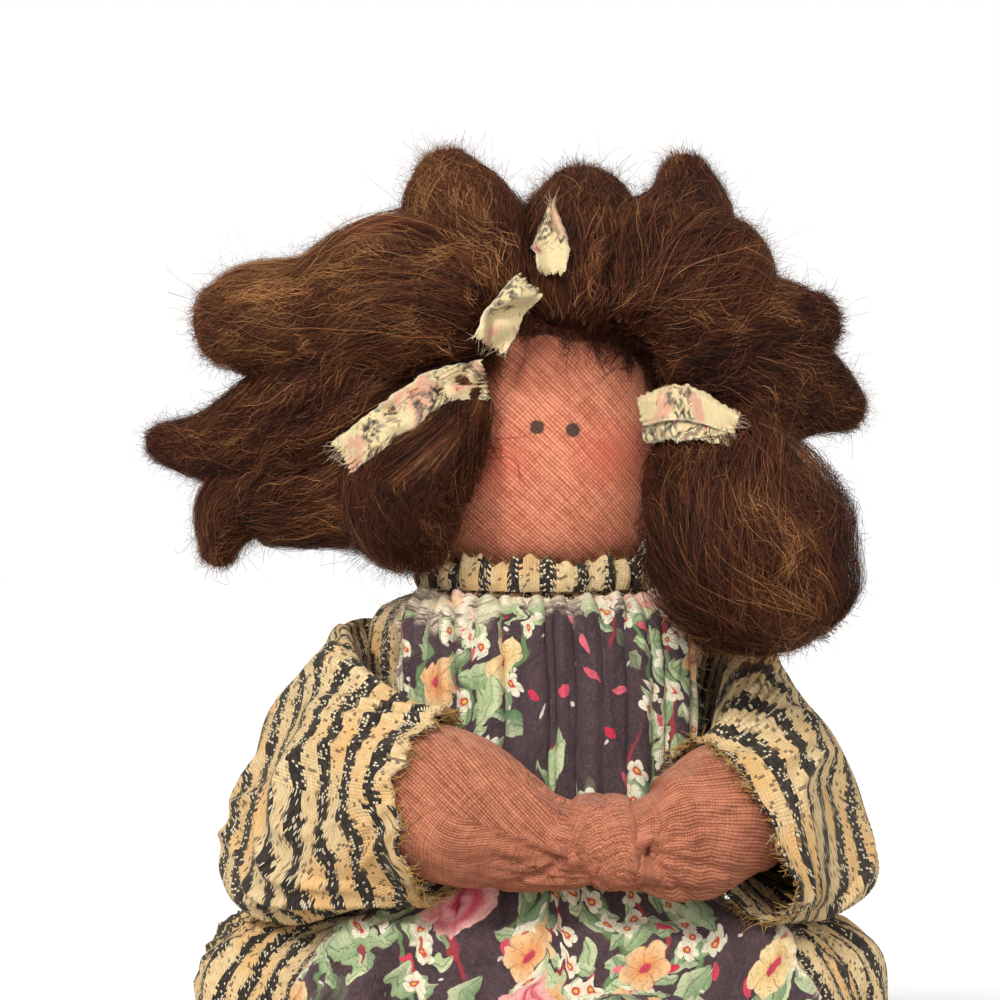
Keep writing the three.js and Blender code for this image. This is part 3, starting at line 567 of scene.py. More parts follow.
def striped(name):
    """Homespun with black and tan stripes that run along v, their edges stepped by the threads."""
    g = Graph(name, roughness=0.95, sheen=0.15, sheen_tint=colour((230, 210, 170)))
    u, v, _ = g.uv()
    pitch, period = 0.56, 5.8
    height, _ = weave(g, u, v, pitch, uneven=0.12)
    column, thread = (u / pitch).floor(), (v / pitch).floor()
    drift = (g.noise(g.join(v * 0.22, 4.0), 1.0, detail=1) - 0.5) * 0.16
    wander = (g.noise(g.join(u * 0.05, v * 0.05), 1.0, detail=1) - 0.5) * 0.5
    jump = (g.chance(g.join(thread, 3.0)) - 0.5) * 0.12
    share = g.math("FRACT", (column + 0.5) * (pitch / period) + drift + wander + jump + 40.0)
    dark = share.ramp(0.0, 0.03) * share.ramp(0.475, 0.445)
    speck = g.chance(g.join(column, thread, 7.0))
    grain = g.noise(g.join(u, v), 0.8, detail=4)
    stray = g.chance(g.join(thread, column, 11.0))
    warm = g.noise(g.join(u, v), 0.06, detail=2)
    tan = g.mix(speck * 0.5 + grain * 0.5, (198, 164, 114), (234, 211, 164))
    tan = g.mix(warm.ramp(0.42, 0.7) * 0.6, tan, (226, 166, 92))
    # painted shade in the weave's gaps between the tan threads
    tan = g.mix(height.ramp(0.35, 0.0) * 0.4, tan, (138, 106, 68))
    tan = g.mix((stray > 0.9) * 0.75, tan, (74, 58, 48))
    black = g.mix(speck, (24, 21, 21), (58, 50, 46))
    black = g.mix((stray > 0.76) * height.ramp(0.35, 0.75) * 0.9, black, (222, 206, 172))
    tint = g.mix(dark, tan, black)
    return g.finish(tint, height + grain * 0.3, depth=0.22, strength=0.7)


def crowded(g, u, v, low=0.45, high=0.456):
    """Where the motifs stand close together; elsewhere the ground is nearly plain."""
    return g.noise(g.join(u * 0.9 + 7.0, v * 0.35), 0.035, detail=1).ramp(low, high)


# A place on the calico seen from the motif nearest to it: its offset, distance and angle from the motif's
# middle, two chances that belong to the motif, and whether there is a motif there
Motif = collections.namedtuple("Motif", "dx dy far angle one two there")


def motifs(g, u, v, cell, seed, keep, wander=0.72, anywhere=False):
    """One motif per cell of a jittered grid, of which a share is kept."""
    node = g.node("ShaderNodeTexVoronoi")
    node.voronoi_dimensions = "2D"
    node.inputs["Randomness"].default_value = wander
    node.inputs["Scale"].default_value = 1.0
    x, y = u / cell + seed * 3.7, v / cell + seed * 5.3
    g.feed(node.inputs["Vector"], g.join(x, y))
    px, py, _ = g.split(node.outputs["Position"])
    dx, dy = (x - px) * cell, (y - py) * cell
    where = g.join((px * 50.0).floor(), (py * 50.0).floor(), seed)
    one = g.chance(where)
    two = g.chance(g.join((py * 50.0).floor(), (px * 50.0).floor(), seed + 2.0))
    distance = (dx * dx + dy * dy).sqrt()
    angle = g.math("ARCTAN2", dy, dx) + one * ROUND
    kept = one < keep
    if not anywhere:
        kept = kept * crowded(g, (px - seed * 3.7) * cell, (py - seed * 5.3) * cell)
    return Motif(dx, dy, distance, angle, one, two, kept)


def petals(angle, count, radius, notch):
    """The outline of a flower with round petals."""
    return radius * (1.0 - notch + notch * (angle * (count / 2)).cos().abs() ** 0.7)


def leaf(motif, turn, length, width):
    """A pointed oval, 1 inside, and the distance from its middle line."""
    c, s = turn.cos(), turn.sin()
    along, aside = motif.dx * c + motif.dy * s, motif.dy * c - motif.dx * s
    shape = (along / length).abs() ** 1.7 + (aside / width).abs() ** 1.4
    return shape.ramp(1.05, 0.9), aside


def calico(name, ground, pale):
    """Small flowers strewn over woven cotton, in layers from the vines up to the roses."""
    pitch = 0.46
    g = Graph(name, roughness=0.9, sheen=0.15, sheen_tint=colour((190, 170, 180)))
    u, v, _ = g.uv()
    height, _ = weave(g, u, v, pitch, uneven=0.2)
    cloth_speck = g.chance(g.join((u / pitch).floor(), (v / pitch).floor(), 1.0))
    cloudy = g.noise(g.join(u, v), 0.12, detail=3)
    # the ground is painted darker in the weave's gaps, as shade between the threads
    tint = g.mix(cloth_speck ** 3.0 * 0.3 + height * 0.22 + (cloudy - 0.5) * 0.4 + 0.04, ground[0], ground[1])
    crowd = crowded(g, u, v, 0.44, 0.46)

    # vines
    bend = g.noise(g.join(u, v), 0.05, detail=1) * 22.0
    for k, (shade, offset) in enumerate((((118, 150, 96), 0.0), ((196, 60, 74), 9.0))):
        line = ((u * 0.9 + bend + offset) * (math.pi / 19.0)).sin().abs()
        tint = g.mix(line.ramp(0.16, 0.07) * crowd * (0.85 - 0.2 * k), tint, shade)

    # leaves
    for seed, cell, length, width in ((1.0, 8.5, 4.0, 1.9), (2.0, 6.0, 2.9, 1.3), (3.0, 11.0, 5.6, 2.7)):
        motif = motifs(g, u, v, cell, seed, 0.8)
        inside, aside = leaf(motif, motif.two * ROUND, length, width)
        green = g.mix(motif.two, (84, 128, 84), (190, 204, 150))
        green = g.mix(aside.ramp(-width, width) * 0.6, green, (226, 228, 184))
        green = g.mix(aside.abs().ramp(0.22, 0.08) * 0.6, green, (70, 98, 66))
        tint = g.mix(inside * motif.there, tint, green)

    # buds and white dots
    bud = motifs(g, u, v, 9.0, 4.0, 0.4, anywhere=True)
    inside, _ = leaf(bud, bud.one * ROUND, 2.3, 0.9)
    tint = g.mix(inside * bud.there, tint, g.mix(bud.two, (214, 44, 78), (232, 120, 130)))
    dot = motifs(g, u, v, 7.5, 5.0, 0.4, anywhere=True)
    tint = g.mix(dot.far.ramp(0.62, 0.42) * dot.there, tint, (226, 210, 196))

    # daisies
    for seed, cell, radius in ((6.0, 8.0, 2.7), (7.0, 10.5, 2.5)):
        daisy = motifs(g, u, v, cell, seed, 0.62)
        d, a = daisy.far, daisy.angle
        rim = petals(a, 5.0, radius, 0.42)
        shape = (d / rim).ramp(1.06, 0.94) * daisy.there
        petal = g.mix((d / rim).ramp(0.3, 1.0), (232, 222, 190), (242, 234, 206))
        petal = g.mix((a * 2.5).cos().abs().ramp(0.22, 0.02) * 0.5, petal, (150, 120, 96))
        petal = g.mix(d.ramp(radius * 0.4, radius * 0.26), petal, (206, 70, 62))
        petal = g.mix(d.ramp(radius * 0.2, radius * 0.1), petal, (236, 190, 90))
        tint = g.mix(shape, tint, petal)

    # larger open flowers, peach, cream and orange
    flower = motifs(g, u, v, 19.0, 8.0, 0.6, wander=0.6)
    d, a = flower.far, flower.angle
    shape = (d / petals(a, 5.0, 5.6, 0.26)).ramp(1.03, 0.97) * flower.there
    petal = g.mix(flower.two.ramp(0.45, 0.55), (232, 196, 128), (236, 158, 92))
    petal = g.mix(d.ramp(0.5, 5.5) * 0.55, petal, (246, 226, 178))
    petal = g.mix((a * 2.5).cos().abs().ramp(0.16, 0.0) * 0.6, petal, (160, 92, 60))
    petal = g.mix((a * 22.0).sin().ramp(0.5, 1.0) * d.ramp(4.5, 1.0) * 0.35, petal, (196, 96, 64))
    petal = g.mix(d.ramp(1.5, 0.9), petal, (196, 62, 84))
    tint = g.mix(shape, tint, petal)

    # full roses
    rosette = motifs(g, u, v, 34.0, 9.0, 0.42, wander=0.6, anywhere=True)
    d, a = rosette.far, rosette.angle
    shape = (d / petals(a, 7.0, 8.6, 0.13)).ramp(1.02, 0.98) * rosette.there
    whorl = ((d * 1.15 - a * 1.1 + (a * 3.0).sin() * 0.7).sin() * 0.5 + 0.5)
    rose = g.mix(whorl, (214, 66, 96), (243, 168, 166))
    rose = g.mix(d.ramp(3.0, 8.6) * 0.5, rose, (246, 196, 178))
    rose = g.mix(d.ramp(2.2, 0.6), rose, (176, 40, 70))
    tint = g.mix(shape, tint, rose)

    tint = g.mix((cloth_speck > 0.8) * 0.22, tint, ground[0])
    fade = g.noise(g.join(u, v), 0.9, detail=4)
    tint = g.mix(fade.ramp(0.5, 0.75) * 0.06, tint, ground[1])
    # painted shade in the weave's gaps
    tint = g.mix(height.ramp(0.35, 0.0) * 0.4, tint, (34, 24, 26))
    worn = g.tone()
    slack = g.noise(g.join(u * 0.35, v * 0.8), 1.0, detail=2)
    thread = g.chance(g.join(((v + slack * 1.6) / 0.5).floor(), 5.0))
    line = ((v + slack * 1.6) * (math.pi / 0.5)).sin().abs().ramp(0.2, 0.6) * thread.ramp(0.1, 0.6)
    tint = g.mix(worn * (0.2 + 0.75 * line), tint, pale)
    return g.finish(tint, height, depth=0.2, strength=0.6)


def faded_print(name):
    """Cream cotton whose print has nearly gone: pink clouds, grey patches and dark specks."""
    g = Graph(name, roughness=0.92, sheen=0.1, sheen_tint=colour((240, 230, 200)))
    u, v, _ = g.uv()
    height, _ = weave(g, u, v, 0.45, uneven=0.25)
    grain = g.noise(g.join(u, v), 1.2, detail=4)
    tint = g.mix(grain, (218, 190, 132), (246, 230, 184))
    tint = g.mix(g.noise(g.join(u, v, 3.0), 0.16, detail=3).ramp(0.49, 0.63) * 0.65, tint, (218, 136, 126))
    grey = g.noise(g.join(u, v, 9.0), 0.1, detail=2).ramp(0.48, 0.58)
    speck = g.noise(g.join(u, v, 5.0), 0.75, detail=3)
    tint = g.mix(grey * speck.ramp(0.45, 0.56) * 0.85, tint, (104, 96, 84))
    tint = g.mix(grey * speck.ramp(0.6, 0.66) * 0.9, tint, (52, 44, 42))
    tint = g.mix(g.noise(g.join(u, v, 14.0), 0.5, detail=2).ramp(0.66, 0.72) * 0.8, tint, (206, 74, 92))
    # painted shade in the weave's gaps
    tint = g.mix(height.ramp(0.3, 0.0) * 0.3, tint, (150, 122, 84))
    tint = g.mix(g.tone() * 0.6, tint, (246, 236, 204))
    return g.finish(tint, height + grain * 0.5, depth=0.2, strength=0.7)


def roving(name):
    """Fine brown fibre; its tone runs from the dark inside, which is painted shade, to the golden outer
    hairs, some are redder, and the upper left is painted lighter as a highlight.
    """
    g = Graph(name, roughness=0.7)
    g.shader.inputs["Specular IOR Level"].default_value = 0.15
    u, v, _ = g.uv()
    streak = g.noise(g.join(u * 5.0, v * 0.3), 1.0, detail=4)
    patch = g.noise(g.join(*g.place()), 0.09, detail=2)
    x, _, z = g.place()
    lit = g.tone() * 1.05 - 0.1 + (streak - 0.5) * 0.8 + (patch - 0.5) * 0.7
    # painted highlight: lighter towards the upper left of the hair, where the key light falls
    lit = lit + x.ramp(20.0, -55.0) * z.ramp(146.0, 178.0) * 0.3
    tint = g.mix(lit.ramp(0.05, 0.5), (24, 9, 4), (86, 46, 26))
    tint = g.mix(lit.ramp(0.5, 1.1), tint, (174, 122, 74))
    red = g.chance(g.join((u / 0.37).floor(), 2.0))
    tint = g.mix(red.ramp(0.4, 1.0) * 0.25, tint, (112, 48, 26))
    return g.finish(tint, streak, depth=0.15, strength=0.4)


def plain_fibre(name, light, dark, roughness=0.85):
    """Thread or filling in two shades."""
    g = Graph(name, roughness=roughness)
    u, v, _ = g.uv()
    grain = g.noise(g.join(u, v), 1.5, detail=3)
    tint = g.mix(grain * 0.6 + g.tone() * 0.4, dark, light)
    return g.finish(tint, grain, depth=0.1, strength=0.4)


face_cloth = muslin("face_muslin", (255, 168, 130), (164, 84, 62), turn=45.0, pitch=0.7, extra=face_paint)
# the arms' muslin gets pale lint and a painted highlight where it faces up
arm_cloth = muslin("arm_muslin", (216, 138, 104), (112, 60, 44), turn=28.0, pitch=0.64, extra=lint_and_top_highlight)
body_cloth = muslin("body_muslin", (160, 96, 74), (94, 48, 35), turn=35.0, pitch=0.68)
stripe_cloth = striped("striped_homespun")
apron_cloth = calico("plum_calico", ((44, 31, 36), (136, 108, 108)), (232, 210, 182))
tie_cloth = faded_print("cream_print")
hair_fibre = roving("roving")
pale_thread = plain_fibre("pale_thread", (226, 208, 178), (160, 132, 108))
ochre_thread = plain_fibre("ochre_thread", (222, 176, 98), (120, 84, 44))
wool = plain_fibre("filling", (236, 228, 210), (190, 178, 156))


# ---- threads and fibres --------------------------------------------------------------------------------
def ribbons(lines, facing, widths, tones):
    """Flat fibres. lines is (fibre, step, xyz); facing is the side that they show."""
    count, steps, _ = lines.shape
    direction = np.gradient(lines, axis=1)
    aside = unit(np.cross(direction, facing))
    half = widths[:, :, None] / 2
    points = np.stack([lines - aside * half, lines + aside * half], axis=2).reshape(-1, 3)
    base = np.arange(count)[:, None] * steps * 2 + np.arange(steps - 1)[None, :] * 2
    quads = np.stack([base, base + 1, base + 3, base + 2], axis=-1).reshape(-1, 4)
    length = np.cumsum(np.linalg.norm(np.diff(lines, axis=1), axis=2), axis=1)
    length = np.concatenate([np.zeros((count, 1)), length], 1)
    uv = np.stack([np.repeat(np.arange(count)[:, None] * 0.37, steps, axis=1), length], axis=-1)
    uv = np.repeat(uv[:, :, None, :], 2, axis=2)
    uv[:, :, 1, 0] += 0.2
    tone = np.repeat(tones[:, :, None], 2, axis=2)
    return points, quads, uv.reshape(-1, 2), tone.reshape(-1)


def add_hair(name, lines, facing, widths, tones):
    """Loose fibres as a piece of their own that rides on the head."""
    mesh = make_mesh(name, *ribbons(lines, facing, widths, tones))
    return make_piece(name, mesh, "head", hair_fibre)


def add_threads(name, starts, ways, lengths, body, material, seed, width=0.22, curl=0.35, steps=6):
    """Frayed threads: three-sided, bending at random, from starts along ways."""
    rng = np.random.default_rng(seed)
    count = len(starts)
    t = np.linspace(0, 1, steps)[None, :, None]
    lines = starts[:, None, :] + ways[:, None, :] * lengths[:, None, None] * t
    bend = rng.normal(0, 1, (count, 3)) * lengths[:, None] * curl
    swing = rng.normal(0, 1, (count, 3)) * lengths[:, None] * curl * 0.4
    lines = lines + bend[:, None, :] * t**2 + swing[:, None, :] * np.sin(t * 5.0)
    lines[..., 2] = np.maximum(lines[..., 2], 0.2)
    direction = np.gradient(lines, axis=1)
    first = unit(np.cross(direction, np.array([0.3, 0.5, 0.8])))
    second = unit(np.cross(direction, first))
    radius = width / 2 * (1 - 0.6 * t)
    ring = [lines + radius * (first * math.cos(angle) + second * math.sin(angle)) for angle in THIRDS]
    points = np.stack(ring, axis=2).reshape(-1, 3)
    base = (np.arange(count)[:, None] * steps + np.arange(steps - 1)[None, :]) * 3
    quads = [np.stack([base + k, base + n, base + 3 + n, base + 3 + k], axis=-1) for k, n in CORNERS]
    quads = np.concatenate([side.reshape(-1, 4) for side in quads])
    index = np.arange(count * steps)
    uv = np.repeat(np.stack([index * 0.31, index * 0.77], axis=1), 3, axis=0)
    tone = np.repeat(np.repeat(rng.uniform(0, 1, count), steps), 3)
    mesh = make_mesh(name, points, quads, uv, tone)
    return make_piece(name, mesh, body, material)


# ---- stuffed body, head and legs -----------------------------------------------------------------------
# Height, width and depth of the body's rings
TORSO_SHARES = [
    [0, 0.86, 0.8],
    [0.06, 0.98, 0.96],
    [0.22, 1, 1],
    [0.45, 0.94, 0.97],
    [0.68, 0.96, 0.93],
    [0.86, 1, 0.86],
    [0.95, 0.84, 0.76],
    [1, 0.5, 0.64],
]


def seam_pucker(angle, along, depth=0.35):
    """The dent of a sewn seam at the two sides, with small puckers beside it."""
    off = np.minimum(np.abs(np.sin(angle)), 1)
    dent = -depth * hump(off, 0.03)
    ripple = 0.5 * depth * hump(off, 0.12) * np.sin(along * 1.9)
    return dent + ripple


def closed_half(name, rings, joined_from, joined_to, body, material, replaces):
    """One panel of a stuffed form: the rings' part between two angles, given as ring columns."""
    columns = np.arange(joined_from, joined_to + 1) % rings.shape[1]
    grid = rings[:, columns]
    across, along = arc_uv(grid)
    across = across - across[:, len(columns) // 2][:, None]
    mesh = cloth_mesh(name, grid, across, along)
    piece = make_piece(name, mesh, body, material, replaces, thickness=MUSLIN_THICK, offset=-1.0)
    return piece


def torso_rings(sides=96, steps=72):
    """The stuffed body, a little lumpy, with a dent at its side seams."""
    share = np.linspace(0, 1, steps)
    rows = smooth_rows(TORSO_SHARES, share)
    angle = turns(sides)
    x, y = outline_at(angle[None, :], rows[:, 1:2] * TORSO_WIDTH / 2, rows[:, 2:3] * TORSO_DEPTH / 2)
    z = rows[:, 0:1] * TORSO_HEIGHT
    rings = xyz(x, y, z)
    lump = soft_noise(angle[None, :] * 20, z, 11, 18, 50) * 0.5 - 0.5
    dent = lump + seam_pucker(angle[None, :], z)
    return rings + unit(rings * np.array([1, 1, 0])) * dent[..., None]


rings = torso_rings()
closed_half("torso_front_cloth", rings, 48, 96, "torso", body_cloth, ["torso_front"])
closed_half("torso_back_cloth", rings, 0, 48, "torso", body_cloth, ["torso_back"])


def head_rings(sides=128, steps=96):
    """The stuffed head, flat below and gathered round its neck."""
    turn = np.linspace(0.035, np.pi - 0.035, steps)[:, None]
    angle = turns(sides)[None, :]
    up = (1 - np.cos(turn)) / 2
    swell = np.sin(turn) ** 0.72
    width = np.sin(turn) ** blend(0.35, 0.72, ease(0.2, 0.6, up))
    x, y = outline_at(angle, width * HEAD_WIDTH / 2, swell * HEAD_DEPTH / 2, 2.1)
    z = CHIN_HEIGHT + up * HEAD_HEIGHT
    rings = xyz(x + HEAD_SHIFT, y, z)
    lump = soft_noise(x, z, 21, 22, 60) * 0.45
    pull = -1.2 * hump(z - CHIN_HEIGHT, 4) * (0.5 + 0.5 * np.sin(angle * 17))
    dent = lump + pull * swell + seam_pucker(angle, z)
    return rings + unit(rings - np.array([HEAD_SHIFT, 0, CHIN_HEIGHT + HEAD_HEIGHT / 2])) * dent[..., None]


rings = head_rings()
closed_half("face_cloth", rings, 64, 128, "head", face_cloth, ["head_front"])
closed_half("head_back_cloth", rings, 0, 64, "head", body_cloth, ["head_back"])


def stuffed_tube(name, rings, body, material, replaces, uv_turned=False):
    """A closed stuffed form from rings of points."""
    rows, sides, _ = rings.shape
    grid = closed(rings)
    across, along = arc_uv(grid)
    for end in (0, -1):
        middle = rings[end].mean(axis=0)
        grid[end] = middle + (grid[end] - middle) * 0.999
    uv = np.stack([along, across] if uv_turned else [across, along], axis=-1)
    faces = grid_faces(rows, sides + 1).tolist()
    count = rows * (sides + 1)
    points = list(grid.reshape(-1, 3))
    uvs = list(uv.reshape(-1, 2))
    for end in (0, rows - 1):
        points.append(rings[end].mean(axis=0))
        uvs.append(uv[end].mean(axis=0))
        for side in range(sides):
            a, b = end * (sides + 1) + side, end * (sides + 1) + side + 1
            faces.append([count, a, b] if end == 0 else [count, b, a])
        count += 1
    mesh = make_mesh(name, np.array(points), faces, np.array(uvs), np.zeros(len(points)))
    weld(mesh)
    piece = make_piece(name, mesh, body, material, replaces)
    return piece


angle = turns(48)
turn = np.linspace(0, np.pi / 2, 14)
radius = np.concatenate([np.full(10, NECK_RADIUS), NECK_RADIUS * np.cos(turn) * 0.999 + 0.01]) - 0.3
height = np.linspace(TORSO_HEIGHT + GAP, NOD_HEIGHT, 10)
height = np.concatenate([height, NOD_HEIGHT + NECK_RADIUS * np.sin(turn) - 0.3])
pleat = 1 + 0.03 * np.sin(angle * 9)
rings = xyz(radius[:, None] * np.cos(angle) * pleat, radius[:, None] * np.sin(angle) * pleat, height[:, None])
stuffed_tube("neck_cloth", rings, "neck", body_cloth, ["neck"])


def leg_rings(side, sides=48):
    """A leg from its hip to its toes' end, creased above the foot."""
    hip = np.linspace(0.02, 1, 16)[:-1] * np.pi / 2
    shin = np.linspace(0, 1, 60)
    y = np.concatenate([HIP_Y + LEG_RADIUS * np.cos(hip), HIP_Y - shin * LEG_LENGTH])
    radius = np.concatenate([LEG_RADIUS * np.sin(hip), blend(LEG_RADIUS, ANKLE_RADIUS, shin**1.4)])
    middle = np.concatenate([np.full(len(hip), HIP_Z), blend(HIP_Z, ANKLE_RADIUS - 0.5, shin**1.4)])
    angle = turns(sides)[None, :]
    wrinkle = soft_noise(angle * 10, y[:, None], 31 + side, 8, 30) * 0.35
    ankle = hump(y[:, None] - HIP_Y + LEG_LENGTH - 6, 7)
    wrinkle = wrinkle - ankle * (0.7 + 0.4 * np.sin(y[:, None] * 1.4))
    seam = seam_pucker(angle, y[:, None], 0.3)
    size = radius[:, None] + np.minimum(wrinkle + seam, 0.0) * np.minimum(radius[:, None] / 6, 1)
    x = side * LEG_X + size * np.cos(angle)
    z = np.maximum(middle[:, None] + size * np.sin(angle), FLOOR_GAP)
    return xyz(x, y[:, None], z)


def foot_rings(side, sides=48, steps=40):
    """A flat upright foot with a seam round its edge."""
    turn = np.linspace(0.03, np.pi - 0.03, steps)[:, None]
    angle = turns(sides)[None, :]
    swell = np.sin(turn) ** 0.9
    wide = ANKLE_RADIUS * (1 + 0.04 * np.sin(turn * 3))
    x = side * LEG_X + wide * swell * np.cos(angle)
    y = HIP_Y - LEG_LENGTH + FOOT_THICKNESS / 2 * swell * np.sin(angle)
    z = FOOT_HEIGHT / 2 * (1 - np.cos(turn))
    dent = -0.35 * hump(np.cos(angle), 0.05)
    out = xyz(np.cos(angle), np.sin(angle), 0 * turn)
    rings = xyz(x, y, z) + out * dent[..., None] * swell[..., None]
    rings[..., 2] = np.maximum(rings[..., 2], FLOOR_GAP)
    return rings


for side, word in SIDES:
    body = f"leg_{word}"
    stuffed_tube(f"leg_{word}_cloth", leg_rings(side), body, body_cloth, [body])
    stuffed_tube(f"foot_{word}_cloth", foot_rings(side), body, body_cloth, [])

# ---- dress ---------------------------------------------------------------------------------------------
# Height, width and depth of the bodice's rings
BODICE_SHARES = [
    [1, 0.37, 0.58],
    [0.975, 0.66, 0.65],
    [0.945, 0.87, 0.72],
    [0.9, 0.98, 0.79],
    [0.8, 1.01, 0.86],
    [0.6, 1, 0.93],
    [0.34, 1, 1],
    [0, 1.09, 1.12],
]
SKIRT_TOP_X = BODICE_SHARES[-1][1] * DRESS_WIDTH / 2
SKIRT_TOP_Y = BODICE_SHARES[-1][2] * DRESS_DEPTH / 2


def dress_base(angle, down):
    """The dress without folds, as the source has it: down is 0-1 bodice, 1-2 bell and 2-3 lap and hem."""
    angle, down = np.broadcast_arrays(np.asarray(angle, float), np.asarray(down, float))
    rows = smooth_rows(BODICE_SHARES, np.minimum(down, 1))
    bx, by = outline_at(angle, rows[..., 1] * DRESS_WIDTH / 2, rows[..., 2] * DRESS_DEPTH / 2)
    bz = blend(SKIRT_HEIGHT, NECKLINE, rows[..., 0])
    front = np.sin(angle) < 0
    turn = np.clip(down - 1, 0, 1) * np.pi / 2
    bell = blend(SKIRT_BELL, SKIRT_BELL_FRONT, np.maximum(-np.sin(angle), 0))
    out = np.sin(turn) ** (2 / bell)
    cone = SKIRT_HEIGHT * np.maximum(np.cos(turn), 0) ** (2 / bell)
    top_x, top_y = outline_at(angle, SKIRT_TOP_X, SKIRT_TOP_Y)
    belly = np.where(front, SKIRT_BELLY, SKIRT_BACK - SKIRT_BRIM)
    belly_x, belly_y = outline_at(angle, SKIRT_WIDTH / 2 - SKIRT_BRIM, belly)
    hem_x, hem_y = outline_at(angle, SKIRT_WIDTH / 2, np.where(front, SKIRT_FRONT, SKIRT_BACK), HEM_FULLNESS)
    beyond = np.maximum(down - 2, 0)
    x = blend(blend(top_x, belly_x, out), hem_x, beyond)
    y = blend(blend(top_y, belly_y, out), hem_y, beyond)
    side = ease(LAP_HALF, LAP_HALF + LAP_SLOPE, np.abs(x))
    sag = hump(x, LEG_X / 2)
    lap = (LAP_TOP - sag) * (1 - side) * (1 - ease(-SKIRT_TOP_Y, 0, y))
    soft = LEG_RADIUS * 2 / 3
    settle = soft / 2 * np.clip(down - 1, 0, 1) * (1 - lap / LAP_TOP)
    z = np.maximum((cone + lap + np.sqrt((cone - lap) ** 2 + soft**2)) / 2 - settle, 0)
    upper = down <= 1
    return xyz(np.where(upper, bx, x), np.where(upper, by, y), np.where(upper, bz, z))


def dress_normal(angle, down):
    reach = 1 / LAP_ROWS
    along_angle = dress_base(angle + reach, down) - dress_base(angle - reach, down)
    above, below = np.maximum(down - reach, 0), np.minimum(down + reach, 3)
    return unit(-np.cross(along_angle, dress_base(angle, below) - dress_base(angle, above)))


def dress_fold(angle, down):
    return ease(0.85, 1.6, down) * FOLD_DEPTH * (1 + np.cos(FOLD_COUNT * angle + np.sin(angle * 2))) / 2


def row_down(row):
    """How far down the dress a row of the source's grid is."""
    row = np.asarray(row, float)
    bell = (row - BODICE_ROWS) / BELL_ROWS
    lower = np.where(bell <= 1, 1 + bell, 2 + (row - BODICE_ROWS - BELL_ROWS) / LAP_ROWS)
    return np.where(row <= BODICE_ROWS, row / BODICE_ROWS, lower)


def dress_point(angle, down, lift):
    point = dress_base(angle, down) + dress_normal(angle, down) * (dress_fold(angle, down) + lift)[..., None]
    point[..., 2] = np.maximum(point[..., 2], FLOOR_GAP)
    return point


def dress_wrinkles(angle, down):
    """Gathers at the top of the skirt and small creases all over, in millimetres outwards."""
    reach = 38 + 30 * np.clip(down - 1, 0, 1)
    u, v = angle * reach, down * 45
    gather = ease(0.75, 1.05, down) * (1 - ease(1.2, 2.1, down))
    small = np.cos(angle * 47 + 2.2 * soft_noise(u, v, 41, 20, 60)) * gather * 0.6
    crease = (creases(u, v * 0.6, 43, 14, 34, 1.6) - 0.45) * blend(0.5, 1.3, ease(0.8, 1.5, down))
    puff = 3.0 * np.cos(angle) ** 2 * hump(down - 1.6, 0.25)
    return small + crease + puff


def dress_panel(name, start, end, columns, replaces):
    """One panel of the dress between two angles, with wrinkles that fade towards its seams."""
    rows = 150
    row = np.sort(np.append(np.linspace(0, DRESS_ROWS, rows - 2), [BODICE_ROWS - 0.01, BODICE_ROWS + 0.01]))
    down = row_down(row)[:, None]
    angle = np.linspace(start, end, columns)[None, :]
    edge = np.minimum(ease(0, 0.06, angle - start), ease(0, 0.06, end - angle))
    hem = ease(2.75, 3, down)
    ragged = hem * soft_noise(angle * 60, down * 0, 45, 3, 14) * 0.03
    lift = dress_wrinkles(angle, down) * edge
    lift = np.maximum(lift, -0.3) + 0.1
    grid = dress_point(angle + 0 * down, np.clip(down + ragged, 0, 3), lift)
    grid[..., 1] += math.copysign(GAP / 2, start + end)
    across, along = arc_uv(grid)
    bodice, skirt = (across[np.searchsorted(down[:, 0], level)] for level in (0.5, 2.2))
    u = np.where(down < 1, bodice - bodice[columns // 2], skirt - skirt[columns // 2]) + 0 * along
    mesh = cloth_mesh(name, grid, u, along)
    return make_piece(name, mesh, "torso", stripe_cloth, replaces, thickness=CLOTH_THICK)


dress_front = dress_panel("dress_front_cloth", -math.pi, 0, 320, ["dress_front"])
dress_back = dress_panel("dress_back_cloth", 0, math.pi, 260, ["dress_back"])


def cut_armholes(piece):
    """Takes the faces inside the two armholes out of a dress panel."""
    reach = (SHOULDER_RADIUS + 3 * GAP) * MM
    work = bmesh.new()
    work.from_mesh(piece.data)
    away = []
    for face in work.faces:
        middle = face.calc_center_median()
        y, z = middle.y - SHIFT[1], middle.z - SHOULDER_HEIGHT * MM
        if (y * y + z * z) ** 0.5 < reach and abs(middle.x - SHIFT[0]) > 20 * MM:
            away.append(face)
    bmesh.ops.delete(work, geom=away, context="FACES")
    work.to_mesh(piece.data)
    work.free()


cut_armholes(dress_front)
cut_armholes(dress_back)


# collar
COLLAR_COLUMNS, COLLAR_THREADS = 720, 260


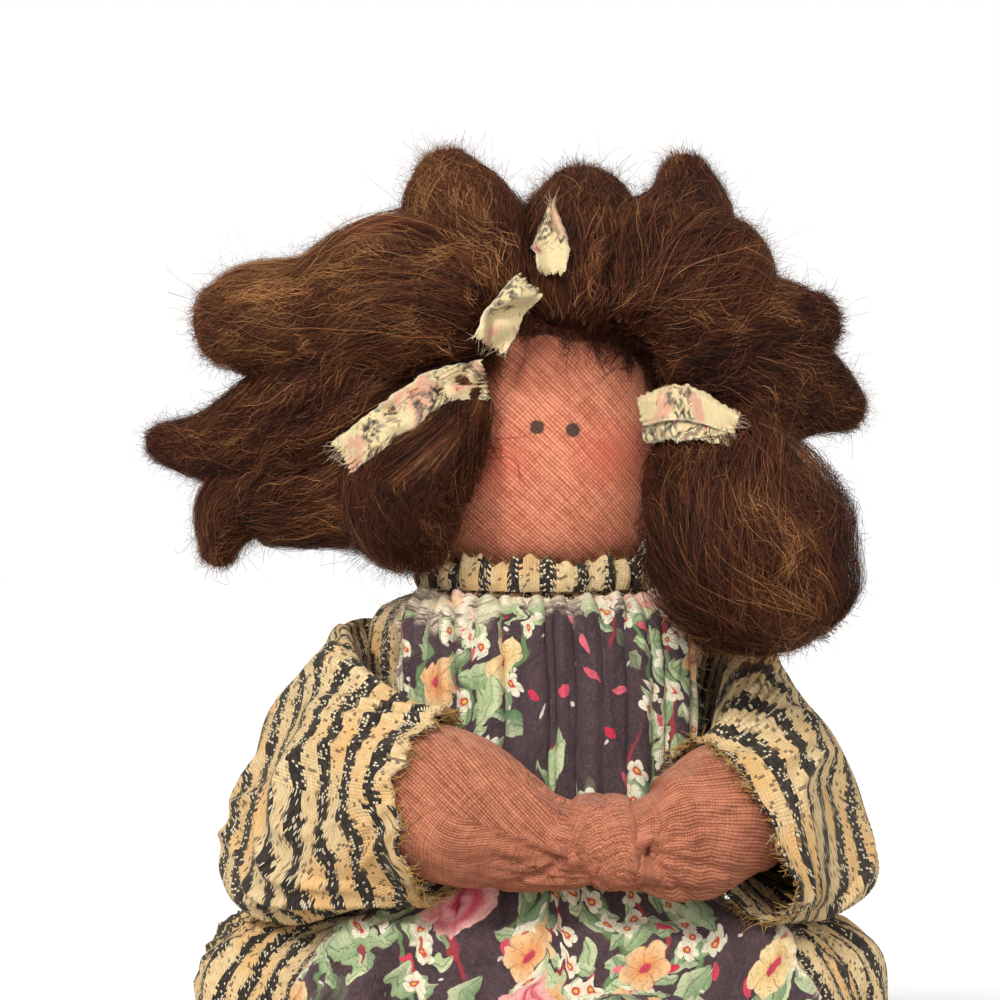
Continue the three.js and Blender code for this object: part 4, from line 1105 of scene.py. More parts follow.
def build_collar():
    """A gathered standing frill that leans out at its ruffles."""
    rows, columns, ruffles = 26, COLLAR_COLUMNS, 27
    angle = np.linspace(0, 2 * np.pi, columns, endpoint=False)[None, :]
    down = np.linspace(0, 1, rows)[:, None]
    foot = dress_base(angle, COLLAR_DOWN + 0 * angle) + dress_normal(angle, COLLAR_DOWN + 0 * angle) * 1.4
    out = unit(foot * np.array([1, 1, 0]))
    phase = ruffles * angle + 1.6 * np.sin(angle * 3.3) + 0.9 * np.sin(angle * 7)
    wave = np.cos(phase) * 1.15 * (0.3 + 0.7 * (1 - down))
    side = wave + (1 - down) * 2.8 + 1.1 - (1 - down) ** 2 * COLLAR_FLARE
    height = (1 - down) * (6.2 + 0.9 * np.sin(phase * 0.5 + 1) * (1 - down) + 0.5 * np.sin(angle * 61))
    grid = foot + out * side[..., None] + np.array([0, 0, 1.0]) * height[..., None]
    frill = closed(grid)
    across, along = arc_uv(frill)
    across = across[rows // 2] * 0.75 + 0 * along
    mesh = cloth_mesh("collar_cloth", frill, across, along)
    piece = make_piece(mesh.name, mesh, "torso", stripe_cloth, ["collar_frill"],
                       CLOTH_THICK, 0.0)
    return piece, grid


collar, collar_grid = build_collar()
rng = np.random.default_rng(61)
starts = collar_grid[0][rng.integers(0, COLLAR_COLUMNS, COLLAR_THREADS)]
ways = [rng.normal(0, 0.5, COLLAR_THREADS), rng.normal(-0.2, 0.5, COLLAR_THREADS)]
ways = np.stack([*ways, rng.uniform(0.3, 1, COLLAR_THREADS)], axis=1)
lengths = rng.uniform(0.5, 1.8, COLLAR_THREADS)
collar_fray = add_threads("collar_fray", starts, ways, lengths, "torso", ochre_thread, 62,
                          width=0.2)


# apron: where the sharp folds run down its bib, as x and width
GROOVES = ((-16.5, 0.8), (-7.4, 0.9), (1.2, 0.7), (2.9, 0.7), (7.0, 0.8), (16.6, 0.9), (24.0, 0.8))


def build_apron():
    """The gathered bib and apron over the dress, worn pale at its torn edges."""
    rows, columns = 150, 300
    start_column, end_column, start_row, end_row = 5.5, 19.5, 2, 14
    down_share = np.linspace(0, 1, rows)[:, None]
    across_share = np.linspace(0, 1, columns)[None, :]
    torn = soft_noise(down_share * 100, 0 * down_share, 71, 3, 22) * 0.22
    torn_right = soft_noise(down_share * 100, 0 * down_share + 9, 72, 3, 22) * 0.22
    column = blend(start_column + torn, end_column + torn_right, across_share)
    hem = ease(0.93, 1, down_share) * soft_noise(column * 5, 0 * column, 73, 3, 16) * 0.2
    row = np.clip(blend(start_row, end_row, down_share) + hem, 0, DRESS_ROWS)
    angle = (column / FRONT_COLUMNS - 1) * np.pi
    down = row_down(row)
    drift = 0.5 * soft_noise(column * 5, down * 30, 74, 25, 70)
    fine = np.cos((column + drift * 0.6) * np.pi * 2 * 1.35)
    broad = np.cos((column + drift) * np.pi)
    near_top = 1 - ease(0.2, 1.1, down)
    pleat = 0.75 * (1 + broad) + near_top * 0.55 * (1 + fine)
    sharp = creases(column * 5 + drift * 4, down * 12, 75, 5, 16, 4) * 0.7 * ease(0.05, 0.3, down)
    rumple = (creases(column * 6, down * 45, 76, 9, 24) - 0.4) * ease(1.0, 1.6, down) * 1.2
    lift = 1.7 + pleat + sharp + rumple
    deep = 1 - ease(0.95, 1.3, down)
    x = dress_base(angle, down)[..., 0] + 0.8 * soft_noise(down * 30, 0 * down, 79, 8, 26)
    grooves = sum(hump(x - at, wide) for at, wide in GROOVES)
    lift = np.maximum(lift + deep * (0.9 - 2.4 * grooves), 1.3)
    grid = dress_point(angle, down, lift)
    grid[..., 1] -= GAP / 2
    reach = 24  # rows over which the apron hangs evenly from the belly to the lap
    weights = hump(np.arange(-reach, reach + 1), 9)
    padded = np.pad(grid, ((reach, reach), (0, 0), (0, 0)), mode="edge")
    even = sum(weight * padded[k : k + rows] for k, weight in enumerate(weights)) / weights.sum()
    outward = np.maximum(even - grid, 0) * [0, 0, 1] + np.minimum(even - grid, 0) * [0, 1, 0]
    grid = grid + outward * (ease(0.6, 0.9, down) * (1 - ease(1.35, 1.7, down)))[..., None]
    across, along = arc_uv(grid)
    u = across - across[:, columns // 2][:, None]
    spread = blend(1.5, 1.0, ease(0.2, 1.3, down))
    edge = np.minimum(across, across[:, -1:] - across)
    worn = ease(3.2, 0.2, edge) * (0.6 + 0.4 * soft_noise(along, across, 77, 3, 9))
    worn = np.maximum(worn, ease(3.0, 0.0, along[-1:] - along))
    bare = blend(13.0, 4.5, ease(0.22, 0.42, across_share)) * (1 + 0.4 * soft_noise(across, along, 78, 5, 14))
    worn = np.maximum(worn, ease(bare, bare * 0.5, along) * 0.9)
    mesh = cloth_mesh("apron_cloth", grid, u * spread, along, np.clip(worn, 0, 1))
    piece = make_piece(mesh.name, mesh, "torso", apron_cloth, ["apron"], MUSLIN_THICK)
    return piece, grid


apron, apron_grid = build_apron()


def fray_edge(name, grid, column, inner, count, seed, low, high, material=pale_thread, body="torso",
              rows=(0.0, 1.0), width=0.2, curl=0.3):
    """Threads that stand out of a grid's edge column, or edge row when column is None.

    inner is the column a little inside, or the edge row and a row inside it.
    """
    rng = np.random.default_rng(seed)
    line = grid[:, column] if column is not None else grid[inner[0]]
    inside = grid[:, inner[0]] if column is not None else grid[inner[1]]
    where = rng.uniform(rows[0], rows[1], count) * (len(line) - 1)
    index = where.astype(int)
    t = (where - index)[:, None]
    following = np.minimum(index + 1, len(line) - 1)
    starts = line[index] * (1 - t) + line[following] * t
    along = unit(line[following] - line[np.maximum(index - 1, 0)])
    ways = unit(starts - inside[index]) + along * rng.normal(0.15, 0.3, count)[:, None]
    ways = ways + rng.normal(0, 0.15, (count, 3))
    starts, lengths = starts - ways * 0.8, rng.uniform(low, high, count)
    return add_threads(name, starts, ways, lengths, body, material, seed + 1, width, curl)


apron_frays = [
    fray_edge("apron_left_fray", apron_grid, 0, (6,), 480, 81, 0.6, 5.5, curl=0.42, width=0.16),
    fray_edge("apron_right_fray", apron_grid, -1, (-7,), 300, 83, 0.6, 3.5, curl=0.42, width=0.16),
    fray_edge("apron_hem_fray", apron_grid, None, (-1, -5), 420, 85, 1.0, 4.0, curl=0.2),
    fray_edge("apron_top_fray", apron_grid, None, (0, 4), 200, 87, 0.6, 2.0, curl=0.3),
]

# ---- sleeves -------------------------------------------------------------------------------------------
# How high a sleeve's ring hangs, how tall it is and how deep, from its back end to its cuff
SLEEVE_SHARES = [[0.9, 0.24, 0.18], [0.95, 0.72, 0.72], [0.35, 0.96, 1], [0.35, 0.9, 1], [0.3, 0.7, 0.97]]


def sleeve_point(side, turn_degrees, share, around, inset):
    """A point of a sleeve: turn_degrees round the body, share along the sleeve, around its ring."""
    rows = smooth_rows(SLEEVE_SHARES, share)
    if side > 0:
        rows[..., 0] = rows[..., 0] - 0.1 * ease(0.6, 1, share)
    toward_cuff = ease(0.7, 1, share)
    deep = blend(SLEEVE_BULGE[side] * rows[..., 2] / 2, CUFF_DEEP / 2, toward_cuff) - inset
    clear = CLOTH + GAP * 2 + 3.2 * ease(18, 42, turn_degrees) + inset
    half = (SLEEVE_TOP - SLEEVE_BOTTOM) / 2
    tall = blend(half * rows[..., 1], CUFF_TALL[side] / 2, toward_cuff) - inset
    middle = SLEEVE_BOTTOM + inset + tall + rows[..., 0] * np.maximum(2 * half - 2 * (tall + inset), 0)
    lean = SLEEVE_LEAN * (1 - ease(0.5, 1, share))
    out = clear + deep * (1 + np.cos(around)) * (1 - lean * np.sin(around))
    turn = np.radians(turn_degrees + 7 * toward_cuff * np.sin(around))
    x, y = outline_at(turn, DRESS_WIDTH / 2 + out, DRESS_DEPTH / 2 + out)
    return xyz(side * x, -y, middle + tall * np.sin(around))


def sleeve_middle(side, turn_degrees, share):
    """The middle of a sleeve's ring, where the arm runs."""
    near = sleeve_point(side, turn_degrees, np.array(share), np.array(np.pi), 0)
    far = sleeve_point(side, turn_degrees, np.array(share), np.array(0.0), 0)
    return (near + far) / 2


def build_sleeve(side, word):
    """A full sleeve with big soft folds and an open, ragged cuff."""
    rows, columns = 190, 240
    cuff_turn = SLEEVE_TURNS[side]
    share = np.linspace(0, 1, rows)[:, None]
    around = np.linspace(0, 2 * np.pi, columns, endpoint=False)[None, :]
    rag = ease(0.94, 1, share) * soft_noise(np.cos(around) * 14, np.sin(around) * 14, 91 + side, 3, 12) * 0.9
    turn = blend(SLEEVE_TURNS["back"], cuff_turn, share) + rag
    base = sleeve_point(side, turn, share + 0 * around, around + 0 * share, 0.0)
    across, along = (part[:, :-1] for part in arc_uv(closed(base)))
    u, v = np.cos(around) * 17 + along * 0.9, np.sin(around) * 17 + along * 0.25
    big = soft_noise(u, v, 93 + side, 20, 40) * 1.5
    crease = (creases(u, v, 95 + side, 18, 36, 1.3) - 0.5) * 1.9
    small = soft_noise(u, v, 97 + side, 7, 13) * 0.22
    body_side = ease(0.35, -0.6, np.cos(around))
    calm = (1 - 0.75 * body_side) * (1 - 0.5 * ease(0.85, 1.0, share)) * ease(0.0, 0.15, share)
    push = np.maximum((big + crease + small) * calm, -1.3)
    wrapped = np.concatenate([base[:, -1:], base, base[:, :1]], axis=1)
    normal = unit(np.cross(np.gradient(wrapped, axis=1)[:, 1:-1], np.gradient(base, axis=0)))
    centre = base.mean(axis=1, keepdims=True)
    if ((base - centre) * normal).sum() < 0:
        normal = -normal
    grid = base + normal * (push - 0.9)[..., None]
    lower = ease(0.75, 1, share) * ease(0.4, -0.9, np.sin(around))
    grid[..., 0] += lower * CUFF_SHIFT[side]
    front = ease(-8, -30, grid[..., 1]) * ease(0.3, -0.6, np.sin(around))
    outer = ease(42, 56, side * grid[..., 0]) * ease(66, 54, grid[..., 2])
    grid[..., 0] += side * SLEEVE_SPREAD[side] * outer
    sink = SLEEVE_SINK[side]
    grid[..., 2] = np.maximum(grid[..., 2] - sink * front, SKIRT_HEIGHT + 2.2 - (sink + 1.5) * front)
    hub = grid.mean(axis=1, keepdims=True)  # the back end is drawn together inside the dress
    grid = hub + (grid - hub) * np.sqrt(ease(0, 0.06, share))[..., None]
    full = closed(grid)
    _, along = arc_uv(full)
    across_mean = np.concatenate([across, across[:, -1:] + 0.4], axis=1)
    ring = along.mean(axis=1)[:, None] + 0.8 * soft_noise(across_mean, along, 99 + side, 12, 40)
    mesh = cloth_mesh(f"sleeve_{word}_cloth", full, ring, across_mean)
    weld(mesh)
    piece = make_piece(mesh.name, mesh, "arms", stripe_cloth, [f"sleeve_{word}"],
                       SLEEVE_THICK, 0.0)
    return piece, grid


sleeves = {}
for side, word in SIDES:
    sleeves[side], sleeve_grid = build_sleeve(side, word)
    fray_edge(f"cuff_{word}_fray", sleeve_grid, None, (-1, -6), 420, 101 + side, 0.6, 3.2, ochre_thread,
              "arms", width=0.26, curl=0.45)
    fray_edge(f"cuff_{word}_yarn", sleeve_grid, None, (-1, -6), 240, 105 + side, 0.4, 2.0, pale_thread,
              "arms", width=0.3, curl=0.4)


# ---- arms and knot -------------------------------------------------------------------------------------
# Where the cloth is pinched beside the knot: x, z, and the creases that leave it, as degrees and reach
PINCHES = {
    -1: (5.0, 59.0, ((158, 20), (200, 12), (176, 10))),
    1: (20.5, 61.5, ((24, 17), (-14, 15), (-48, 11), (52, 9))),
}


def build_arm(side, word):
    """A stuffed arm from inside its sleeve to the knot, where it narrows and creases."""
    cuff_turn = SLEEVE_TURNS[side]
    share_of = lambda turn: (turn - SLEEVE_TURNS["back"]) / (cuff_turn - SLEEVE_TURNS["back"])
    points = [sleeve_middle(side, 0, share_of(0))]
    points += [sleeve_middle(side, cuff_turn * part, share_of(cuff_turn * part)) for part in (0.4, 0.75, 1)]
    points.append(KNOT + np.array([side * KNOT_REACH, 0, 0]))
    points.append(KNOT)
    line, along, length = even_path(points, 150)
    share = np.linspace(0, 1, 150)[:, None]
    angle = turns(96)[None, :]
    out = unit(np.cross(along, np.array([0, 0, 1.0])))
    up = np.cross(out, along)
    full = np.sin(np.minimum(share * 5 + 0.35, 1) * np.pi / 2)
    narrow = ease(0.62, 0.97, share) if side < 0 else ease(0.74, 1.0, share)
    half_tall = blend(ARM_HEIGHT, WRIST_HEIGHT, narrow) / 2 * full * blend(0.5, 1, ease(0.1, 0.5, share))
    half_tall = half_tall * (1 if side < 0 else 0.94)
    half_deep = blend(ARM_DEPTH, WRIST_DEPTH, narrow) / 2 * full * blend(0.45, 1, ease(0.1, 0.5, share))
    toward = ease(0.55, 0.9, share)
    u = share * length
    gather = np.cos(angle * 5 + side * 0.7 + 1.3 * np.sin(share * 9)) * 0.7 * toward**2
    folds = creases(u * 0.45, np.cos(angle) * 16 + np.sin(angle) * 5, 111 + side, 9, 20, 7)
    folds = folds * 1.3 * ease(0.6, 0.9, share)
    soft = soft_noise(u, np.cos(angle) * 14 + np.sin(angle) * 9, 113 + side, 14, 32) * 0.45
    push = -np.abs(gather) - folds * 0.8 + soft - 0.1
    push = push * np.minimum(full, 1)

    def ring_points(push):
        aside, rise = (half_deep + push) * np.cos(angle), (half_tall + push) * np.sin(angle)
        return line[:, None, :] + out[:, None, :] * aside[..., None] + up[:, None, :] * rise[..., None]

    points = ring_points(push)
    x, z, ways = PINCHES[side]
    aside, rise = points[..., 0] - x, points[..., 2] - z
    far = np.hypot(aside, rise)
    star = 0 * far
    for way, reach in ways:
        off = np.angle(np.exp(1j * (np.arctan2(rise, aside) - math.radians(way)))) * far
        ahead = aside * math.cos(math.radians(way)) + rise * math.sin(math.radians(way))
        star = star + 2.2 * hump(off, 0.85) * np.exp(-far / reach) * (ahead > 0)
    points = ring_points(push - star)
    return stuffed_tube(f"arm_{word}_cloth", points, "arms", arm_cloth, [f"arm_{word}"],
                        uv_turned=True)


for side, word in SIDES:
    build_arm(side, word)


def build_knot():
    """The crossed arm ends, wrapped by one leaning band with a notch above and folds at its sides."""
    steps, sides = 120, 120
    t = np.linspace(-1, 1, steps)[:, None]
    angle = turns(sides)[None, :]
    x = t * KNOT_REACH
    size = np.sqrt(np.maximum(1 - (np.abs(t) / 1.02) ** 4, 0.0))
    tall, deep = KNOT_TALL / 2 * 0.86 * size, KNOT_DEEP / 2 * 0.92 * size
    lean = x + np.sin(angle) * 2.6
    band = hump(lean - 0.2, 6.2, 4) * 1.1
    dent_left = -0.8 * hump(lean + 7.6, 1.3)
    dent_right = -2.8 * hump(x + np.sin(angle) * 0.8 - 6.6, 0.9)
    notch = -1.8 * hump(x - 6.3, 1.6) * ease(0.5, 1.0, np.sin(angle))
    folds = -0.5 * creases(lean * 0.8, np.sin(angle) * 12, 121, 4, 9, 4)
    push = band + dent_left + dent_right + notch + folds
    points = xyz(x, (deep + push * size) * np.cos(angle), (tall + push * size) * np.sin(angle))
    return stuffed_tube("hand_knot_cloth", points + KNOT, "arms", arm_cloth, ["hand_knot"],
                        uv_turned=True)


build_knot()

# ---- hair ----------------------------------------------------------------------------------------------
# Points of each bunch's middle line as shares of the hair's half size, and its radius there as a share of
# LOCK_RADIUS
BUNCHES = {
    "lower_right": [[0.389, -0.4, -0.094, 1.1], [0.497, -0.6, -0.328, 1.75], [0.558, -0.82, -0.566, 2.16],
                    [0.635, -0.9, -0.777, 1.7], [0.676, -0.92, -0.925, 1.1]],
    "left_cheek": [[-0.23, -0.36, 0.057, 0.9], [-0.311, -0.48, -0.151, 1.25], [-0.368, -0.47, -0.377, 1.2],
                   [-0.305, -0.4, -0.645, 0.8]],
    "left_point": [[-0.27, -0.24, 0.094, 1.3], [-0.5, -0.28, 0.057, 1.5], [-0.73, -0.2, -0.106, 1.2],
                   [-0.905, -0.12, -0.17, 0.75], [-1.081, -0.1, -0.151, 0.3]],
    "lower_left": [[-0.189, 0, -0.113, 1.4], [-0.419, -0.12, -0.283, 1.5], [-0.635, -0.15, -0.34, 1.15],
                   [-0.838, -0.14, -0.408, 0.8], [-0.892, -0.12, -0.63, 0.25]],
    "upper_left": [[-0.135, -0.42, 0.272, 1.1], [-0.378, -0.46, 0.377, 1.7], [-0.595, -0.38, 0.317, 1.25],
                   [-0.797, -0.3, 0.302, 1.1], [-0.938, -0.26, 0.264, 0.55]],
    "crown_left": [[-0.095, -0.42, 0.294, 1], [-0.189, -0.3, 0.585, 1.3], [-0.243, -0.2, 0.792, 0.95],
                   [-0.27, -0.14, 0.958, 0.35]],
    "crown_middle": [[0.068, -0.42, 0.283, 0.95], [0.095, -0.28, 0.547, 1.3], [0.114, -0.14, 0.736, 1.05],
                     [0.108, -0.06, 0.875, 0.65]],
    "crown_right": [[0.23, -0.42, 0.272, 1], [0.338, -0.34, 0.509, 1.5], [0.4, -0.2, 0.736, 0.9],
                    [0.389, -0.14, 0.943, 0.35]],
    "upper_right": [[0.284, -0.44, 0.294, 1.1], [0.432, -0.42, 0.434, 1.5], [0.527, -0.3, 0.491, 1.1],
                    [0.581, -0.22, 0.521, 0.5]],
    "right_lobe": [[0.311, -0.38, 0.189, 1.1], [0.5, -0.4, 0.257, 1.4], [0.676, -0.32, 0.283, 0.9],
                   [0.811, -0.24, 0.279, 0.45]],
    "right_point": [[0.351, -0.3, 0.057, 1.2], [0.554, -0.34, 0.068, 1.45], [0.743, -0.28, 0.03, 0.9],
                    [0.881, -0.24, -0.064, 0.3]],
    "top_left": [[-0.07, -0.02, 0.38, 1.4], [-0.28, -0.04, 0.5, 1.4], [-0.486, 0, 0.47, 1.1],
                 [-0.676, 0.02, 0.377, 0.8]],
    "back_top": [[0, 0.22, 0.377, 1.6], [0.011, 0.42, 0.415, 1.95], [0, 0.62, 0.453, 1.85],
                 [-0.027, 0.82, 0.423, 1.1]],
    "back_right": [[0.162, 0.2, 0.151, 1.9], [0.351, 0.34, 0.094, 2.3], [0.527, 0.44, 0.008, 1.9],
                   [0.676, 0.5, -0.094, 0.95]],
    "back_left": [[-0.162, 0.2, 0.151, 1.9], [-0.378, 0.34, 0.094, 2.3], [-0.581, 0.42, 0.019, 2],
                  [-0.757, 0.48, -0.075, 1.1]],
    "back_low": [[0, 0.42, 0.132, 1.9], [-0.019, 0.54, -0.057, 2.4], [0.019, 0.64, -0.28, 2.3],
                 [0.041, 0.72, -0.5, 1.3]],
}


# How full a bunch still is at its tip, as a share of its fullest place
TIP_SHARES = {"left_point": 0.2, "lower_left": 0.26, "right_point": 0.3, "crown_right": 0.36,
              "crown_left": 0.4, "upper_left": 0.56, "right_lobe": 0.6, "crown_middle": 0.7}


def bunch_line(rows, count):
    """Middle line, frame and radius of a bunch at evenly spread shares."""
    rows = np.asarray(rows, float)
    shares = np.linspace(0, 1, count)
    line = path_points(rows[:, :3] * HAIR_HALF + HAIR_MIDDLE, shares)
    along = unit(np.gradient(line, axis=0))
    chord = line[-1] - line[0]
    side = np.array([0, 1.0, 0]) if abs(chord[1]) < abs(chord[2]) else np.array([0, 0, 1.0])
    deep = unit(side - along * (along @ side)[:, None])
    wide = np.cross(along, deep)
    radius = np.maximum(smooth_rows(rows[:, 3:4], shares)[:, 0], 0.15) * LOCK_RADIUS
    return line, along, wide, deep, radius


def build_bunch(name, rows, seed):
    """A bunch of roving: a lumpy core, crimped fibres that lie along it, and short frizz that stands off."""
    rng = np.random.default_rng(seed)
    stations = 60
    line, along, wide, deep, radius = bunch_line(rows, stations)
    length = np.linalg.norm(np.diff(line, axis=0), axis=1).sum()
    radius = np.maximum(radius, radius.max() * TIP_SHARES.get(name, 0.5) * np.linspace(0, 1, stations))
    amount = 0.5 if name.startswith("back") or name == "top_left" else 1.0

    def at(values, share):
        inside = np.clip(share, 0, 1) * (stations - 1)
        low = np.minimum(inside.astype(int), stations - 2)
        f = (inside - low)[..., None]
        return values[low] * (1 - f) + values[low + 1] * f

    def reach(share, least=0.0):
        """The radius, rounded off at both ends."""
        cap = np.clip(1.1 * radius[-1] / length, 0.06, 0.25)
        near, far = np.clip(share / 0.12, 0, 1), np.clip((1 - share) / cap, 0, 1)
        closing = np.sqrt((1 - (1 - near) ** 2) * (1 - (1 - far) ** 2))
        return at(radius[:, None], share)[..., 0] * np.maximum(closing, least)

    def middle(share):
        beyond = np.maximum(share - 1, 0)[..., None] * along[-1] + np.minimum(share, 0)[..., None] * along[0]
        return at(line, share) + beyond * length

    def outwards(share, turned):
        """Straight out of the bunch at an angle, and the way round it there."""
        w, d = at(wide, share), at(deep, share)
        cosine, sine = np.cos(turned)[..., None], np.sin(turned)[..., None]
        return w * cosine + d * sine, d * cosine - w * sine

    sides, rings = 48, 56
    angle = turns(sides)
    share = ((1 - np.cos(np.linspace(0, np.pi, rings))) / 2)[:, None]
    down = share * length
    lump = soft_noise(np.cos(angle) * 10 + down * 0.5, np.sin(angle) * 10 - down * 0.3, seed, 7, 22)
    size = reach(share) * (0.88 + 0.1 * lump + 0.02 * np.cos(angle * 13 + lump * 2))
    core = middle(share) + at(wide, share) * (size * np.cos(angle))[..., None]
    core = core + at(deep, share) * (size * np.sin(angle))[..., None]
    core_uv = np.stack([angle * 9 + 0 * down, down + 0 * angle], -1)
    # the core's low tone paints it dark, as shade under and between the fibres
    parts = [(core.reshape(-1, 3), grid_faces(rings, sides, joined=True), core_uv.reshape(-1, 2),
              (0.2 + 0.1 * lump).reshape(-1))]

    def lay(count, locks, steps, spread, width, low, high):
        """Fibres that lie on the core in loose locks, each with a crimp of its own."""
        lock = rng.integers(0, locks, count)
        centre = (np.arange(locks) + rng.uniform(-0.4, 0.4, locks)) / locks * 2 * np.pi
        wind, bend = rng.normal(0, 0.6, locks), rng.uniform(0, 2 * np.pi, locks)
        lock_tone, lock_rise = rng.uniform(-0.18, 0.18, locks), rng.uniform(0.9, 1.06, locks)
        t = np.linspace(0, 1, steps)[None, :]
        begin = rng.uniform(-0.03, 0.72, count)
        end = np.minimum(begin + rng.uniform(0.25, 0.8, count), rng.uniform(0.9, 1.01, count))
        share = begin[:, None] + (end - begin)[:, None] * t
        own = rng.uniform(0, 2 * np.pi, (count, 2))
        turned = centre[lock][:, None] + wind[lock][:, None] * share
        turned = turned + 0.35 * np.sin(share * 5 + bend[lock][:, None])
        turned = turned + rng.normal(0, spread, count)[:, None]
        turned = turned + rng.normal(0, 0.3, count)[:, None] * (t - 0.5)
        crimp = share * length * 2 * np.pi / rng.uniform(6, 12, count)[:, None] + own[:, :1]
        radial = reach(share, 0.5) * lock_rise[lock][:, None] * rng.uniform(0.92, 1.04, count)[:, None]
        radial = radial + 0.3 * np.sin(crimp * 0.8) + rng.exponential(0.45, count)[:, None] * t**2
        tangent = rng.uniform(0.15, 0.6, count)[:, None] * np.sin(crimp)
        tangent = tangent + 0.9 * np.sin(crimp * 0.31 + own[:, 1:])
        out, aside = outwards(share, turned)
        lines = middle(share) + out * radial[..., None] + aside * tangent[..., None]
        facing = out + aside * rng.normal(0, 0.35, count)[:, None, None]
        widths = width * (1 - 0.6 * t**2) * rng.uniform(0.6, 1.4, count)[:, None]
        tones = rng.uniform(low, high, count)[:, None] + lock_tone[lock][:, None] + 0.12 * np.sin(crimp * 0.5)
        parts.append(ribbons(lines, facing, widths, np.clip(tones, 0, 1)))

    def frizz(count, steps, low, high, width):
        """Short curling hairs that stand off the bunch all over."""
        share, turned = rng.uniform(0.0, 1.0, (count, 1)), rng.uniform(0, 2 * np.pi, (count, 1))
        out, aside = outwards(share, turned)
        t = np.linspace(0, 1, steps)[None, :, None]
        mix = rng.normal(0, 1, (count, 3))
        way = out * (0.1 + 0.35 * np.abs(mix[:, :1, None])) + aside * mix[:, 1:2, None] * 0.7
        way = way + at(along, share) * (0.5 + 0.6 * mix[:, 2:, None])
        way = unit(way)
        full = (0.5 + 0.5 * reach(share) / LOCK_RADIUS).clip(0.3, 1)[..., None]
        long = rng.uniform(low, high, (count, 1, 1)) * full
        swing = rng.normal(0, 0.28, (count, 1, 3)) * long
        turn = rng.uniform(2, 7, (count, 1, 1)) * t + rng.uniform(0, ROUND, (count, 1, 1))
        lines = middle(share) + out * (reach(share) * 0.9)[..., None] + way * long * t
        lines = lines + swing * np.sin(turn) * t + rng.normal(0, 0.2, (count, 1, 3)) * long * t**2
        facing = rng.normal(0, 1, (count, 1, 3)) + 0 * lines
        widths = width * (1 - 0.6 * t[..., 0]) * rng.uniform(0.6, 1.3, (count, 1))
        parts.append(ribbons(lines, facing, widths, rng.uniform(0.35, 0.95, (count, 1)) + 0 * t[..., 0]))

    # dark fibres on the core, their low tones painted shade, finer and lighter ones over them, short frizz
    # and a few long hairs
    lay(int(2200 * amount), 20, 18, 0.2, 0.14, 0.05, 0.5)
    lay(int(1500 * amount), 26, 20, 0.34, 0.09, 0.25, 0.85)
    frizz(int(3600 * amount), 7, 1.6, 5.0, 0.09)
    frizz(int(70 * amount), 12, 5.0, 9.0, 0.08)

    points, quads, uv, tone = zip(*parts)
    starts = np.cumsum([0] + [len(part) for part in points[:-1]])
    quads = [part + start for part, start in zip(quads, starts)]
    mesh = make_mesh(f"roving_{name}", *map(np.concatenate, (points, quads, uv, tone)))
    return make_piece(f"roving_{name}", mesh, "head", hair_fibre, [f"hair_{name}"])


for index, (name, rows) in enumerate(BUNCHES.items()):
    build_bunch(name, rows, 200 + index)

# ---- ties ----------------------------------------------------------------------------------------------
# Points of each tie as shares of the hair's half size, and its width at start, middle and end as shares of
# STRIP_WIDTH
TIES = {
    "top": ([[0.034, 0.47], [0.03, 0.6], [0.03, 0.73]], (0.5, 0.85, 0.12)),
    "upper_left": ([[-0.028, 0.43], [-0.085, 0.34], [-0.137, 0.2]], (0.72, 0.74, 0.86)),
    "left": ([[-0.147, 0.075], [-0.27, 0.045], [-0.385, -0.07], [-0.53, -0.215]], (0.86, 0.8, 0.86)),
    "right": ([[0.27, -0.08], [0.37, -0.055], [0.51, -0.12]], (1.1, 1.2, 0.75)),
}
STRIP_WIDTH = 9


def solid_tree(*words):
    """The solids whose names begin with the words, as one tree to lay the ties and loose hair on."""
    points, faces = [], []
    for node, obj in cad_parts.items():
        if node.startswith(words):
            start = len(points)
            points += [obj.matrix_world @ v.co for v in obj.data.vertices]
            faces += [[start + i for i in face.vertices] for face in obj.data.polygons]
    return BVHTree.FromPolygons(points, faces)


def first_hit(tree, x, z, start=-FRONT_START):
    """The layout y at which a ray from start, along y, first meets a tree."""
    way = Vector((0, -math.copysign(1, start), 0))
    hit = tree.ray_cast(Vector(place([x, start, z])), way)[0]
    return None if hit is None else (hit.y - SHIFT[1]) / MM


hair_tree = solid_tree("hair_", "head_front")


def place_in_hair(shares):
    """x and z from shares of the hair's half width and height."""
    return np.asarray(shares) * HAIR_HALF[[0, 2]] + HAIR_MIDDLE[[0, 2]]


def hair_front(x, z):
    """The foremost place of the hair near x, z."""
    half = STRIP_WIDTH / 2
    around = ((0, 0), (-half, 0), (half, 0), (0, -half), (0, half))
    hits = [first_hit(hair_tree, x + dx, z + dz) for dx, dz in around]
    return np.array([x, min([0.0] + [hit for hit in hits if hit is not None]), z])


